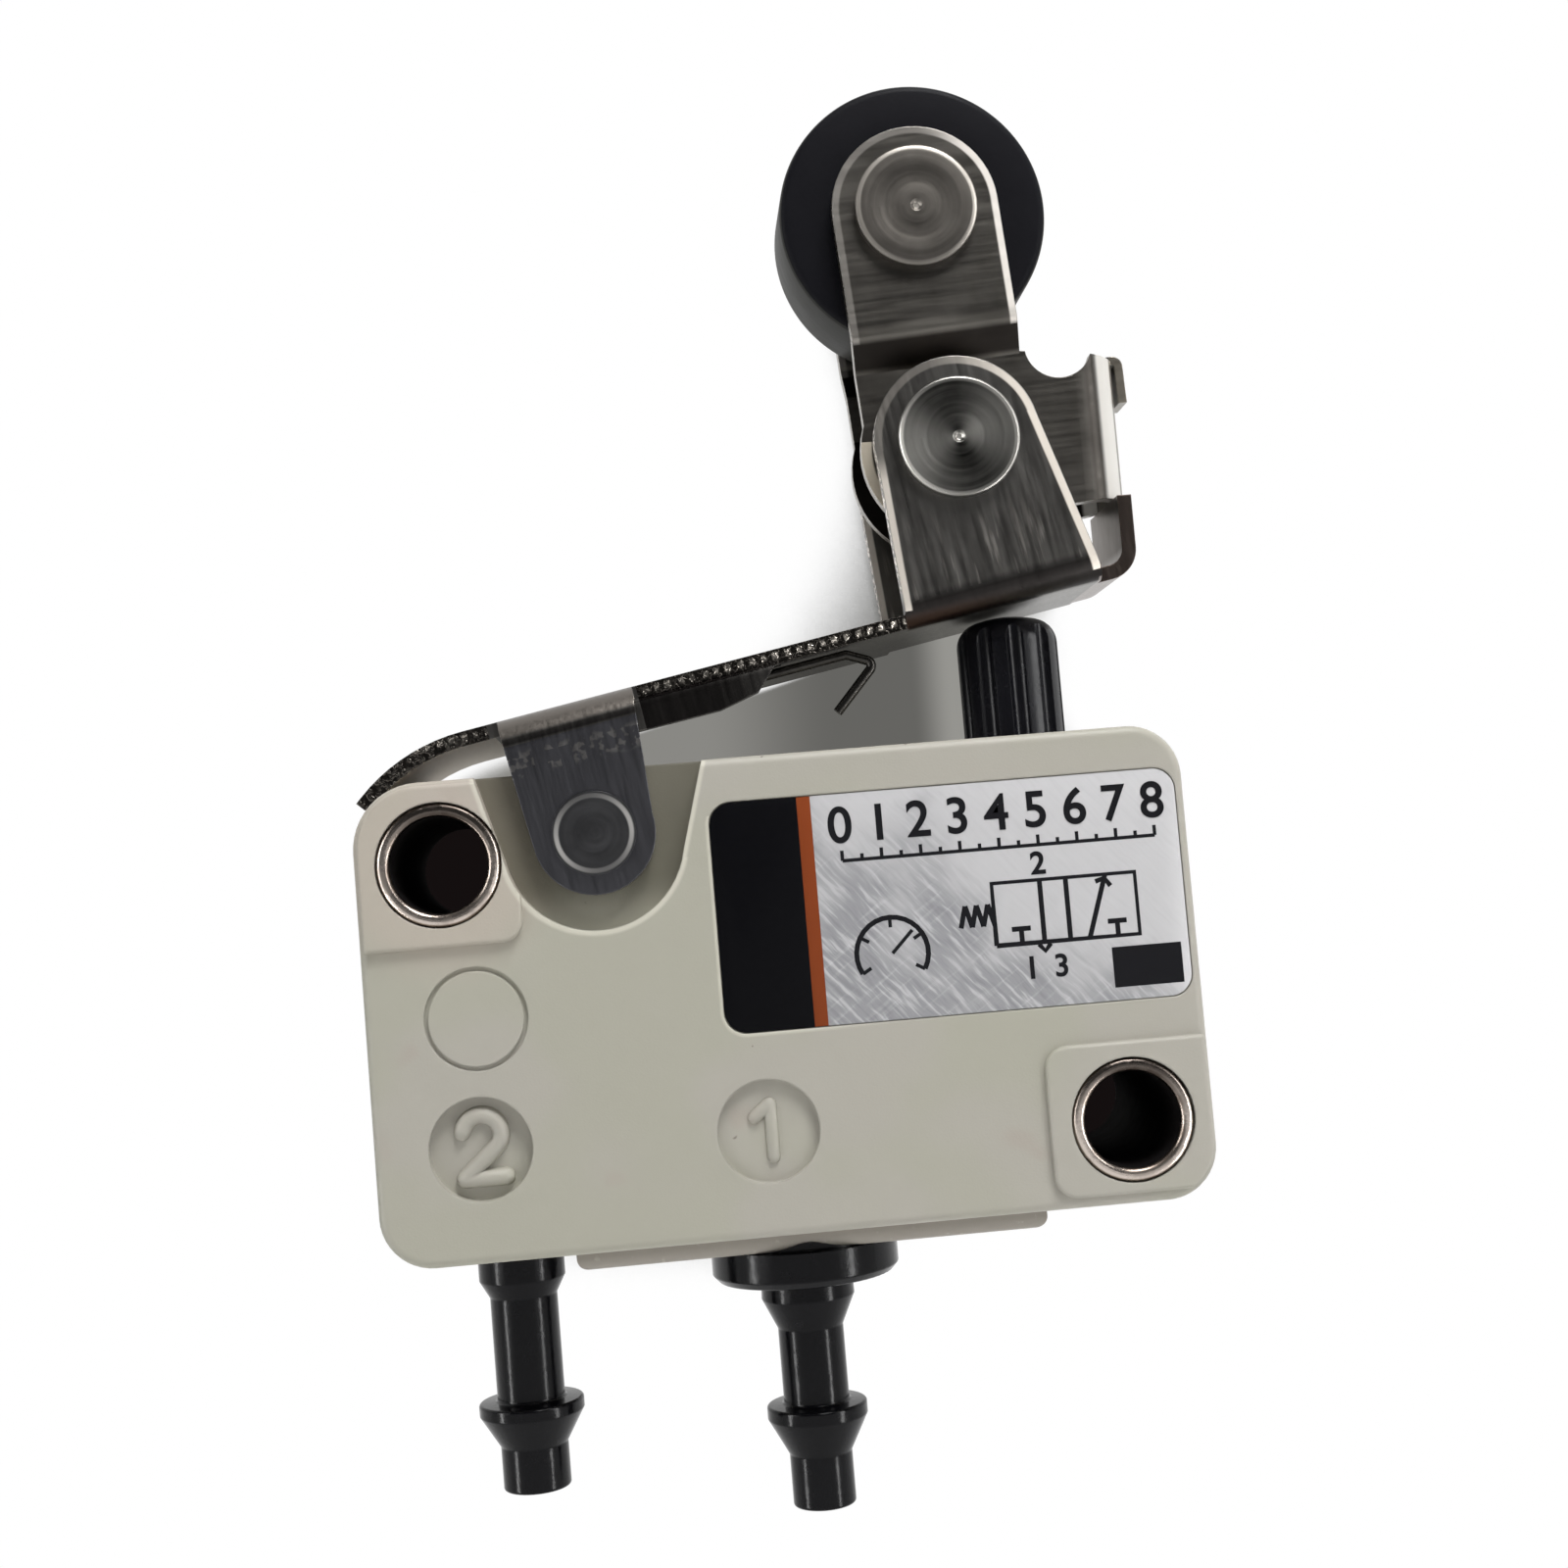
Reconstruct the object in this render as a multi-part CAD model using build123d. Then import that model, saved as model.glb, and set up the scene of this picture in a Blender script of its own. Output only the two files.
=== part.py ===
from build123d import *
import os
from math import cos, radians, sin

# Mechanical micro valve with a one-way roller lever.
# Millimetres. Origin at the centre of the upper mounting hole on the rear face,
# +X along the body, +Z up. The front faces -Y.

# Body
BODY_THICK = 10.3
MID_Y = -BODY_THICK / 2
BODY_LEFT, BODY_RIGHT = -2.8, 25.0
BODY_TOP, BODY_BOTTOM = 2.8, -13.1
CORNER_R = 1.75
TIP_CORNER_R = 2.2
PAD_STEP = 0.25
MAIN_FACE = BODY_THICK / 2 - PAD_STEP
RIM_ROUND = 0.3
PAD_ROUND = 0.12
SEAM_CHAMFER = 0.1
SHELL_GAP = 0.01

PEGS = {"left": (0.4, -4.3), "right": (21.6, -6.9)}
PEG_R, PEG_LONG = 0.6, 1.4

# Label, port marks and the blank ring on the front, as x, z and depth
LABEL_BOX = (8.95, 24.7, -6.38, 1.32)
LABEL_SEAT = 0.12
MARK_R = 1.7
MARKS = {"one": (10.11, -9.62, 0.28), "two": (0.68, -9.37, 0.45)}
BLANK_MARK = (0.84, -5.12)

# Mounting holes and their hollow rivets
HOLE_SPAN_X, HOLE_SPAN_Z = 22.2, -10.3
RIVET_BORE_R = 1.6
RIVET_TUBE_R = 1.84
RIVET_LIP_R = 2.06
RIVET_LIP = 0.35
HOLES = {"upper": (0, 0), "lower": (HOLE_SPAN_X, HOLE_SPAN_Z)}

# Lever, in its own frame: U runs along the plate, W up from the hinge pin
HINGE_X, HINGE_Z = 5.15, 0.65
LEVER_ANGLE = 10.4
SHEET = 0.5
PLATE_UNDER_W = 4.02
PLATE_HALF = 3.6
EAR_OUT = 4.7
EAR_END_R = 2.05
HINGE_PIN_R = 0.75
HINGE_HEAD_R = 1.4
HINGE_HEAD_THICK = 0.18
DIMPLE_R = 0.2
FIT = 0.05

TIP_CORNER_U, TIP_END, TIP_BEND_R = -5.48, (-2.55, 2.155), 6.0
TAB_OUT_X = 24.78
TAB_TOP_Z = 11.12
TAB_HALF = 2.3

# Return spring on the hinge pin
WIRE_R = 0.17
HINGE_COIL_R = 1.15
HINGE_COIL_LONG = 1.2
HINGE_TURNS = 3
SPRING_SLOT = (3.6, 9.2, 1.0, 3.5)
SPRING_LEG_NEAR = -2.72
HOOK_KNEE, HOOK_END = (15.2, 5.82), (13.75, 4.2)
LEG_BEND_R = 0.2

# Bracket at the end of the lever, and the folding arm pinned in it
ARM_PIN_X, ARM_PIN_Z = 18.63, 13.25
ARM_PIN_R = 1.0
ARM_HEAD_R = 2.1
ARM_HEAD_THICK = 0.4
BRACKET_HEAD_R = 2.9
ARM_COIL_R = 1.45
ARM_COIL_LONG = 2.0
ARM_TURNS = 4
ARM_FOOT_LONG = 5.0
ROLLER_X, ROLLER_Z = 18.02, 21.75
ROLLER_R = 4.75
ROLLER_WIDE = 3.8
ROLLER_PIN_R = 1.0
ROLLER_HEAD_R = 2.15
ARM_UPPER_OUT = 2.6
ARM_LOWER_OUT = 2.0
ARM_TOP_R = 2.95
ARM_LOW_R = 3.2
ARM_LEAN = 4.1
JOG_LOW, JOG_HIGH = 3.1, 4.25
WEB_OUT_X = 24.9
WEB_BOTTOM_Z, WEB_TOP_Z = 11.2, 16.25
WEB_BEND_R = 1.4
LIP_SHEET = 0.3

# Plunger and the mechanism inside
PLUNGER_X = 20.3
PLUNGER_R = 1.8
PLUNGER_TOP_Z = 7.39
DOME_R = 4.0
DOME_RIM_R = 0.9
TOUCH = 0.03
GUIDE_R = 2.3
GUIDE_FLANGE_R = 2.75
GUIDE_FLANGE_TOP = 1.9
CHAMBER = (3.0, 23.4, -6.0, 1.4)
VALVE_POCKET = (-1.3, 19.5)
CAVITY_HALF = 3.0
ROCKER_X, ROCKER_Z = 4.6, -2.2
ROCKER_SHEET = 0.6
ROCKER_HALF = 1.4
ROCKER_PIN_R = 0.5
RETURN_SPRING_X = 16.6

# Valve and ports
PORT1_X, PORT2_X = 11.2, 1.3
BULGE_LEFT, BULGE_RIGHT, BULGE_BOTTOM = 3.4, 19.4, -13.95
SLEEVE_R = 2.93
SLEEVE_TOP, SLEEVE_BOTTOM = -7.02, -12.2
SEAT_Z = -10.7
STEM_R = 1.0
STEM_BORE_R = 0.45
STEM_SEAL_R = 1.75
RING_Z = (-7.9, -11.5)
CHANNEL_Z = -9.6
PORT1_FLOOR = -13.55
PORT1_RING_Z = -13.0
PORT2_PLUG_R = 1.45
PORT2_TOP = -10.9
PORT2_RING_Z = -11.6
BARB_BORE_R = 0.65


def front_plane(y):
    """Plane whose sketch coordinates are X and Z, at depth y."""
    return Plane(origin=(0, y, 0), x_dir=(1, 0, 0), z_dir=(0, -1, 0))


def slab(sketch, near, far):
    """Extrude an X-Z sketch between two distances from the mid plane, front negative."""
    return extrude(front_plane(MID_Y + far) * sketch, far - near)


def at(x, z):
    return Pos(x, z)


def block(x0, x1, z0, z1, near, far):
    return slab(at((x0 + x1) / 2, (z0 + z1) / 2) * Rectangle(x1 - x0, z1 - z0), near, far)


def rod_y(x, z, r, near, far):
    """Round bar along Y."""
    return slab(at(x, z) * Circle(r), near, far)


def rod_z(x, r, z0, z1):
    """Round bar along Z on the mid plane."""
    return Pos(x, MID_Y, (z0 + z1) / 2) * Cylinder(r, z1 - z0)


def turned_z(x, points, soft=(), soft_r=0.1):
    """Body of revolution about a vertical axis, from radius and height pairs.
    The corners listed in soft are rounded."""
    outline = make_face(Polyline(*points, close=True))
    rounded = [outline.vertices().sort_by_distance((r, z, 0))[0] for r, z in soft]
    if rounded:
        outline = fillet(rounded, soft_r)
    return Pos(x, MID_Y, 0) * revolve(Plane.XZ * outline, Axis.Z)


def ring_z(x, z, mean_r, wire_r):
    return Pos(x, MID_Y, z) * Torus(mean_r, wire_r)


def both_sides(piece):
    """The piece and its mirror image about the mid plane."""
    return piece + mirror(piece, Plane.XZ.offset(-MID_Y))


def lever_point(u, w):
    """Lever frame to row frame, at rest."""
    a = radians(LEVER_ANGLE)
    return (HINGE_X + u * cos(a) - w * sin(a), HINGE_Z + u * sin(a) + w * cos(a))


def tilted(sketch):
    """Turn a sketch drawn in the lever frame into the row frame."""
    return Pos(HINGE_X, HINGE_Z) * Rot(0, 0, LEVER_ANGLE) * sketch


def coil(mean_r, wire_r, pitch, height, start=0):
    """Helical wire about Z, from z = 0 up."""
    path = Rot(0, 0, start) * Helix(pitch=pitch, height=height, radius=mean_r)
    section = Plane(origin=path @ 0, z_dir=path % 0) * Circle(wire_r)
    return sweep(section, path=path)


def torsion_spring(centre, mean_r, turns, near, far, leg, foot_long):
    """Wire that runs in along a leg to the top of its coil, round the coil to the rear,
    and out again straight. The leg is a list of X and Z pairs, from its free end."""
    x, z = centre
    turn = Helix(pitch=(far - near) / turns, height=far - near, radius=mean_r, lefthand=True)
    turn = Pos(x, near, z) * Rot(-90, 0, 0) * Rot(0, 0, -90) * turn
    top, out = turn @ 0, turn % 0
    rise = out.Y / out.X
    reach = leg[-1][0]
    points = [(px, near + rise * (min(px, reach) - x), pz) for px, pz in leg]
    lead = FilletPolyline(*points, tuple(top), radius=LEG_BEND_R)
    foot = Line(turn @ 1, turn @ 1 + turn % 1 * foot_long)
    wire = Wire([*lead.edges(), turn, foot])
    return sweep(Plane(origin=wire @ 0, z_dir=wire % 0) * Circle(WIRE_R), path=wire)


# Housing

def body_outline():
    width, height = BODY_RIGHT - BODY_LEFT, BODY_TOP - BODY_BOTTOM
    face = at((BODY_LEFT + BODY_RIGHT) / 2, (BODY_TOP + BODY_BOTTOM) / 2) * Rectangle(width, height)
    corners = face.vertices().sort_by_distance((BODY_LEFT, BODY_TOP, 0))
    face = fillet(corners[0], TIP_CORNER_R)
    others = [v for v in face.vertices() if min(abs(v.X - BODY_LEFT), abs(v.X - BODY_RIGHT)) < 0.01]
    others = [v for v in others if min(abs(v.Y - BODY_TOP), abs(v.Y - BODY_BOTTOM)) < 0.01]
    return fillet(others, CORNER_R)


def upper_pad():
    """Raised land round the upper hole."""
    face = Polyline((-3.5, 3.5), (-3.5, -2.7), (2.6, -2.7), (2.6, 3.5), close=True)
    face = make_face(face)
    return fillet(face.vertices().sort_by_distance((2.6, -2.7, 0))[0], 0.7)


def lower_pad():
    """Raised land round the lower hole."""
    face = make_face(Polyline((19.4, -7.7), (26, -7.7), (26, -12.72), (19.4, -12.72), close=True))
    near_left = [v for v in face.vertices() if v.X < 20]
    return fillet(near_left, 0.8)


def lever_recess():
    """U-shaped hollow in which the lever's ear hangs."""
    bottom = at(5.12, 0.42) * Circle(3.0)
    mouth = make_face(Polyline((1.2, 3.2), (2.28, -0.55), (7.95, -0.55), (9.0, 3.2), close=True))
    return bottom + mouth


def half_shell():
    """Front half with everything that both halves share."""
    outline = body_outline()
    shell = slab(outline, -MAIN_FACE, 0)
    rim = shell.edges().filter_by_position(Axis.Y, MID_Y - MAIN_FACE - 0.01, MID_Y - MAIN_FACE + 0.01)
    shell = fillet(rim, RIM_ROUND)
    seam = shell.edges().filter_by_position(Axis.Y, MID_Y - 0.01, MID_Y + 0.01)
    shell = chamfer(seam, SEAM_CHAMFER)
    pads = slab((upper_pad() + lower_pad()) & offset(outline, -0.16), -BODY_THICK / 2, -MAIN_FACE + 0.4)
    pad_rims = pads.edges().filter_by_position(Axis.Y, MID_Y - BODY_THICK / 2, MID_Y - BODY_THICK / 2)
    shell += fillet(pad_rims, PAD_ROUND)
    shell -= slab(lever_recess(), -6, -4.1)
    x0, x1, z0, z1 = CHAMBER
    shell -= block(x0, x1, z0, z1, -CAVITY_HALF, 1)
    shell -= block(*VALVE_POCKET, BODY_BOTTOM - 1, z0, -CAVITY_HALF, 1)
    for x, z in HOLES.values():
        shell -= rod_y(x, z, RIVET_TUBE_R + SHELL_GAP, -6, 1)
        shell -= rod_y(x, z, RIVET_LIP_R + 0.02, -6, -BODY_THICK / 2 + RIVET_LIP)
    shell -= rod_y(HINGE_X, HINGE_Z, HINGE_PIN_R + FIT, -6, 1)
    shell -= rod_y(ROCKER_X, ROCKER_Z, ROCKER_PIN_R + SHELL_GAP, -CAVITY_HALF - 1, 1)
    shell -= rod_z(PLUNGER_X, GUIDE_R + SHELL_GAP, 0, 4)
    shell -= rod_z(PLUNGER_X, GUIDE_FLANGE_R + SHELL_GAP, 0, GUIDE_FLANGE_TOP)
    return shell


def label_sketch(shrink=0.0):
    x0, x1, z0, z1 = LABEL_BOX
    return at((x0 + x1) / 2, (z0 + z1) / 2) * RectangleRounded(x1 - x0 - shrink, z1 - z0 - shrink, 0.75)


def housing_front():
    shell = half_shell()
    for x, z, deep in MARKS.values():
        shell -= rod_y(x, z, MARK_R, -6, -MAIN_FACE + deep)
    ring = at(*BLANK_MARK) * (Circle(MARK_R) - Circle(MARK_R - 0.13))
    shell -= slab(ring, -6, -MAIN_FACE + 0.1)
    shell -= slab(label_sketch(), -6, -MAIN_FACE + LABEL_SEAT)
    shell -= block(*SPRING_SLOT, -CAVITY_HALF + 0.02, SPRING_LEG_NEAR + HINGE_COIL_LONG + 0.25)
    for x, z in PEGS.values():
        shell -= rod_y(x, z, PEG_R + SHELL_GAP, -PEG_LONG - 0.1, 1)
    return shell


def housing_rear():
    shell = mirror(half_shell(), Plane.XZ.offset(-MID_Y))
    for x, z in PEGS.values():
        shell += rod_y(x, z, PEG_R, -PEG_LONG, 0.5)
    return shell


def label():
    return slab(label_sketch(0.06), -MAIN_FACE + 0.02, -MAIN_FACE + LABEL_SEAT)


def hollow_rivet(x, z):
    tube = rod_y(x, z, RIVET_TUBE_R, -BODY_THICK / 2, BODY_THICK / 2)
    half = BODY_THICK / 2
    for near, far in ((-half, -half + RIVET_LIP), (half - RIVET_LIP, half)):
        tube += rod_y(x, z, RIVET_LIP_R, near, far)
    tube -= rod_y(x, z, RIVET_BORE_R, -6, 6)
    rims = tube.edges().filter_by(GeomType.CIRCLE)
    lips = [e for e in rims if abs(abs(e.center().Y - MID_Y) - half) < 0.01]
    return fillet(lips, 0.2)


# Lever, its pin and its return spring

def plate_profile():
    """Side section of the lever plate: bent tip, flat, and end tab turned up."""
    mid_w = PLATE_UNDER_W + SHEET / 2
    corner = lever_point(TIP_CORNER_U, mid_w)
    tab_x = TAB_OUT_X - SHEET / 2
    end_u = (tab_x - HINGE_X + mid_w * sin(radians(LEVER_ANGLE))) / cos(radians(LEVER_ANGLE))
    bend = lever_point(end_u, mid_w)
    line = FilletPolyline(TIP_END, corner, bend, (tab_x, TAB_TOP_Z), radius=[TIP_BEND_R, 0.85])
    return trace(line, SHEET)


def pivot_ear():
    """Ear that hangs from the plate and takes the hinge pin."""
    ear = make_face(Polyline((-2.2, 4.3), (-EAR_END_R, 0), (EAR_END_R, 0.2), (2.45, 4.3), close=True))
    return tilted(ear + Circle(EAR_END_R))


def side_skirt():
    """Stiffening skirt between the pivot ear and the bracket, tapering out."""
    skirt = Polyline((2.0, 4.2), (2.0, 3.0), (5.2, 2.98), (6.6, 3.25), (7.6, 4.2), close=True)
    return tilted(make_face(skirt))


def bracket_ear():
    """Upright ear with a round head about the arm pin and a slanted right edge."""
    head = at(ARM_PIN_X, ARM_PIN_Z) * Circle(BRACKET_HEAD_R)
    lean = radians(LEVER_ANGLE)
    left_top = (ARM_PIN_X - BRACKET_HEAD_R * cos(lean), ARM_PIN_Z - BRACKET_HEAD_R * sin(lean))
    slant = radians(24)
    right_top = (ARM_PIN_X + BRACKET_HEAD_R * cos(slant), ARM_PIN_Z + BRACKET_HEAD_R * sin(slant))
    left_foot = lever_point(12.15, 4.3)
    right_foot = lever_point(19.2, 4.3)
    centre = (ARM_PIN_X, ARM_PIN_Z)
    cheek = make_face(Polyline(left_top, left_foot, right_foot, right_top, centre, close=True))
    return head + cheek


def bent_wall(out, up, outer_r):
    """Section across the lever: a wall that leaves the plate's edge with a bend, up or down."""
    wall = out - SHEET / 2
    plate = PLATE_UNDER_W + SHEET / 2
    end = plate + (14 if up else -8)
    line = FilletPolyline((-1.5, plate), (-wall, plate), (-wall, end), radius=outer_r - SHEET / 2)
    return trace(line, SHEET)


def across_lever(section, u0, u1):
    """Extrude a section across the lever along U, from u0 to u1."""
    x, z = lever_point(u0, 0)
    a = radians(LEVER_ANGLE)
    plane = Plane(origin=(x, MID_Y, z), x_dir=(0, 1, 0), z_dir=(cos(a), 0, sin(a)))
    return extrude(plane * section, u1 - u0)


def lever():
    plate = slab(plate_profile(), -PLATE_HALF + 0.9, PLATE_HALF - 0.9)
    flat = slab(plate_profile(), -PLATE_HALF, PLATE_HALF)
    tab_sides = block(22.6, 26, 7, 13, -6, -TAB_HALF) + block(22.6, 26, 7, 13, TAB_HALF, 6)
    flat -= tab_sides
    bracket_zone = slab(tilted(at(15.7, 4.3) * Rectangle(7.1, 2)), -6, 6)
    flat -= bracket_zone
    ear_zone = slab(tilted(at(0.12, 4.3) * Rectangle(4.66, 2)), -6, 6)
    flat -= ear_zone
    piece = plate - tab_sides + flat
    ears = across_lever(bent_wall(EAR_OUT, False, 1.1), -2.3, 2.5)
    ears &= slab(pivot_ear() + band(-2.2, 2.45), -6, 6)
    skirt = across_lever(bent_wall(PLATE_HALF, False, 0.75), 2.3, 7.7)
    skirt &= slab(side_skirt() + band(2.0, 7.6), -6, 6)
    uprights = across_lever(bent_wall(PLATE_HALF, True, 0.9), 12.1, 19.25)
    uprights &= slab(bracket_ear() + band(12.15, 19.2), -6, 6)
    piece += both_sides(ears)
    piece += skirt
    piece += both_sides(uprights)
    piece -= rod_y(HINGE_X, HINGE_Z, HINGE_PIN_R, -6, 6)
    piece -= rod_y(ARM_PIN_X, ARM_PIN_Z, ARM_PIN_R, -6, 6)
    return piece


def band(u0, u1):
    """The plate's own thickness between two places along U."""
    return tilted(at((u0 + u1) / 2, PLATE_UNDER_W + SHEET / 2) * Rectangle(u1 - u0, SHEET + 0.1))


def riveted_pin(centre, shank_r, head_r, out, head_thick):
    """Pin with a head at each end; the front head has its rim eased and a centre dimple."""
    face = out + head_thick
    head = rod_y(*centre, head_r, -face, -out)
    rim = [e for e in head.edges().filter_by(GeomType.CIRCLE) if e.center().Y < MID_Y - face + 0.01]
    head = fillet(rim, head_thick * 0.4)
    dimple = Pos(centre[0], MID_Y - face + DIMPLE_R / 2, centre[1]) * Rot(90, 0, 0)
    head -= dimple * Cone(0, DIMPLE_R, DIMPLE_R)
    return rod_y(*centre, shank_r, -out, out) + both_sides(head)


def lever_pin():
    """Hinge pin, spun over almost flush with the ears, with a groove inside each rim."""
    pin = riveted_pin((HINGE_X, HINGE_Z), HINGE_PIN_R, HINGE_HEAD_R, EAR_OUT, HINGE_HEAD_THICK)
    groove = at(HINGE_X, HINGE_Z) * (Circle(HINGE_HEAD_R - 0.12) - Circle(HINGE_HEAD_R - 0.27))
    return pin - both_sides(slab(groove, -EAR_OUT - 1, -EAR_OUT - HINGE_HEAD_THICK + 0.08))


def arm_pin():
    return riveted_pin((ARM_PIN_X, ARM_PIN_Z), ARM_PIN_R, ARM_HEAD_R, PLATE_HALF, ARM_HEAD_THICK)


def roller_pin():
    centre = (ROLLER_X, ROLLER_Z)
    return riveted_pin(centre, ROLLER_PIN_R, ROLLER_HEAD_R, ARM_UPPER_OUT, ARM_HEAD_THICK)


def lever_spring():
    """Torsion spring on the hinge pin, whose long leg lies under the plate and ends in a hook."""
    near = MID_Y + SPRING_LEG_NEAR
    under = PLATE_UNDER_W - WIRE_R - 0.06
    run_end, run_start = lever_point(9.9, under), lever_point(1.6, under)
    leg = [HOOK_END, HOOK_KNEE, run_end, run_start, (6.15, HINGE_Z + HINGE_COIL_R)]
    return torsion_spring((HINGE_X, HINGE_Z), HINGE_COIL_R, HINGE_TURNS + 0.5, near,
                          near + HINGE_COIL_LONG, leg, 2.6)


# Folding arm and roller

def upper_arm_outline():
    """Parallel-sided upper ear with a round top about the roller pin, down to below the jog."""
    length = (ROLLER_Z - ARM_PIN_Z) / cos(radians(ARM_LEAN)) - JOG_LOW + 0.35
    stem = Rectangle(2 * ARM_TOP_R, length, align=(Align.CENTER, Align.MAX))
    return at(ROLLER_X, ROLLER_Z) * Rot(0, 0, ARM_LEAN) * (Circle(ARM_TOP_R) + stem)


def lower_arm_outline():
    """Lower ear: round below the arm pin, with a wing on the right that reaches the web."""
    neck = Rectangle(2 * ARM_TOP_R, JOG_LOW, align=(Align.CENTER, Align.MIN))
    neck = at(ARM_PIN_X, ARM_PIN_Z) * Rot(0, 0, ARM_LEAN) * (neck + Circle(ARM_LOW_R))
    wing = make_face(Polyline(
        (18.5, 10.6), (WEB_OUT_X, WEB_BOTTOM_Z), (WEB_OUT_X, WEB_TOP_Z), (21.1, 16.6), (18.5, 15),
        close=True))
    dip = at(22.75, 16.75) * Circle(1.22)
    return neck + wing - dip


def lower_channel():
    """Two ears joined by the web, as seen from above."""
    wall = ARM_LOWER_OUT - SHEET / 2
    web = WEB_OUT_X - SHEET / 2
    line = FilletPolyline((14, -wall), (web, -wall), (web, wall), (14, wall), radius=WEB_BEND_R)
    plan = Plane(origin=(0, MID_Y, 9)) * trace(line, SHEET)
    return extrude(plan, 8.3) & slab(lower_arm_outline(), -6, 6)


def upper_ears():
    """The two ears beside the roller, with the jog that widens them."""
    low, high = ARM_LOWER_OUT - SHEET / 2, ARM_UPPER_OUT - SHEET / 2
    line = FilletPolyline((-low, JOG_LOW - 0.35), (-low, JOG_LOW), (-high, JOG_HIGH), (-high, 13), radius=0.3)
    a = radians(ARM_LEAN)
    along = Vector(cos(a), 0, sin(a))
    plane = Plane(origin=Vector(ARM_PIN_X, MID_Y, ARM_PIN_Z) - 5 * along, x_dir=(0, 1, 0), z_dir=along)
    ear = extrude(plane * trace(line, SHEET), 10) & slab(upper_arm_outline(), -6, 6)
    return both_sides(ear)


def web_hook():
    """Lip rolled outward at the top of the web, which holds the spring's leg."""
    x = WEB_OUT_X - SHEET / 2 - 0.1
    top = WEB_TOP_Z + 0.05
    line = FilletPolyline((x, 14.8), (x, top), (x + 0.57, top), (x + 0.62, 14.75), radius=0.22)
    return slab(trace(line, LIP_SHEET), -0.8, 0.8)


def roller_arm():
    piece = lower_channel() + upper_ears() + web_hook()
    piece -= rod_y(ROLLER_X, ROLLER_Z, ROLLER_PIN_R, -6, 6)
    piece -= rod_y(ARM_PIN_X, ARM_PIN_Z, ARM_PIN_R + FIT, -6, 6)
    return piece


def arm_spacers():
    """Two bushes on the arm pin that centre the arm between the bracket's ears."""
    inner = PLATE_HALF - SHEET
    near, far = -inner + 0.03, -ARM_LOWER_OUT - 0.06
    ring = at(ARM_PIN_X, ARM_PIN_Z) * (Circle(1.75) - Circle(ARM_PIN_R + 0.01))
    return both_sides(slab(ring, near, far))


def arm_spring():
    """Torsion spring round the arm pin; its leg lies over the web and its foot points at the plate."""
    near = MID_Y - ARM_COIL_LONG / 2
    over_web = WEB_TOP_Z + 0.2 + WIRE_R + 0.05
    leg = [(25.0, over_web), (24.2, over_web), (21.2, ARM_PIN_Z + ARM_COIL_R)]
    return torsion_spring((ARM_PIN_X, ARM_PIN_Z), ARM_COIL_R, ARM_TURNS + 0.25, near,
                          near + ARM_COIL_LONG, leg, ARM_FOOT_LONG)


def roller():
    wheel = rod_y(ROLLER_X, ROLLER_Z, ROLLER_R, -ROLLER_WIDE / 2, ROLLER_WIDE / 2)
    rims = wheel.edges().filter_by(GeomType.CIRCLE)
    wheel = fillet(rims, 0.3)
    for near, far in ((-3, -ROLLER_WIDE / 2 + 0.25), (ROLLER_WIDE / 2 - 0.25, 3)):
        dish = at(ROLLER_X, ROLLER_Z) * (Circle(ROLLER_R - 0.75) - Circle(2.3))
        wheel -= slab(dish, near, far)
    return wheel - rod_y(ROLLER_X, ROLLER_Z, 1.55, -3, 3)


def roller_bush():
    bush = rod_y(ROLLER_X, ROLLER_Z, 1.54, -ROLLER_WIDE / 2 - 0.05, ROLLER_WIDE / 2 + 0.05)
    return bush - rod_y(ROLLER_X, ROLLER_Z, ROLLER_PIN_R + FIT, -3, 3)


# Plunger and rocker

def plunger():
    """Fluted pin with a domed top, a collar that keeps it in, and a domed foot."""
    foot_z = ROCKER_Z + ROCKER_SHEET / 2 + TOUCH
    dome_z = PLUNGER_TOP_Z - DOME_R
    pin = rod_z(PLUNGER_X, PLUNGER_R, 0.2, PLUNGER_TOP_Z)
    cap = Pos(PLUNGER_X, MID_Y, dome_z) * Sphere(DOME_R) + rod_z(PLUNGER_X, PLUNGER_R, 0, dome_z)
    pin &= cap
    rim = [e for e in pin.edges().filter_by(GeomType.CIRCLE) if e.center().Z > 6]
    pin = fillet(rim, DOME_RIM_R)
    for i in range(10):
        flute = Rot(0, 0, 36 * i + 18) * Pos(PLUNGER_R + 0.1, 0, 3.9) * Cylinder(0.33, 6.4)
        pin -= Pos(PLUNGER_X, MID_Y, 0) * flute
    collar = rod_z(PLUNGER_X, 2.2, 0.1, 0.75)
    foot = rod_z(PLUNGER_X, 1.5, foot_z, 0.3) & Pos(PLUNGER_X, MID_Y, foot_z + 3) * Sphere(3)
    return pin + collar + foot


def plunger_guide():
    guide = rod_z(PLUNGER_X, GUIDE_R, GUIDE_FLANGE_TOP, BODY_TOP)
    guide += rod_z(PLUNGER_X, GUIDE_FLANGE_R, 1.0, GUIDE_FLANGE_TOP)
    return guide - rod_z(PLUNGER_X, PLUNGER_R + 0.04, -1, 4)


def rocker():
    """Strip that carries the plunger's stroke to the valve stem at a reduced ratio."""
    eye = at(ROCKER_X, ROCKER_Z) * Circle(1.15)
    low, high = ROCKER_Z - ROCKER_SHEET / 2, ROCKER_Z + ROCKER_SHEET / 2
    strip = block(ROCKER_X, 21.7, low, high, -ROCKER_HALF, ROCKER_HALF)
    ends = [e for e in strip.edges().filter_by(Axis.Z) if e.center().X > 21]
    strip = fillet(ends, 1.0)
    return slab(eye, -ROCKER_HALF, ROCKER_HALF) + strip - rod_y(ROCKER_X, ROCKER_Z, ROCKER_PIN_R + FIT, -6, 6)


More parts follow.
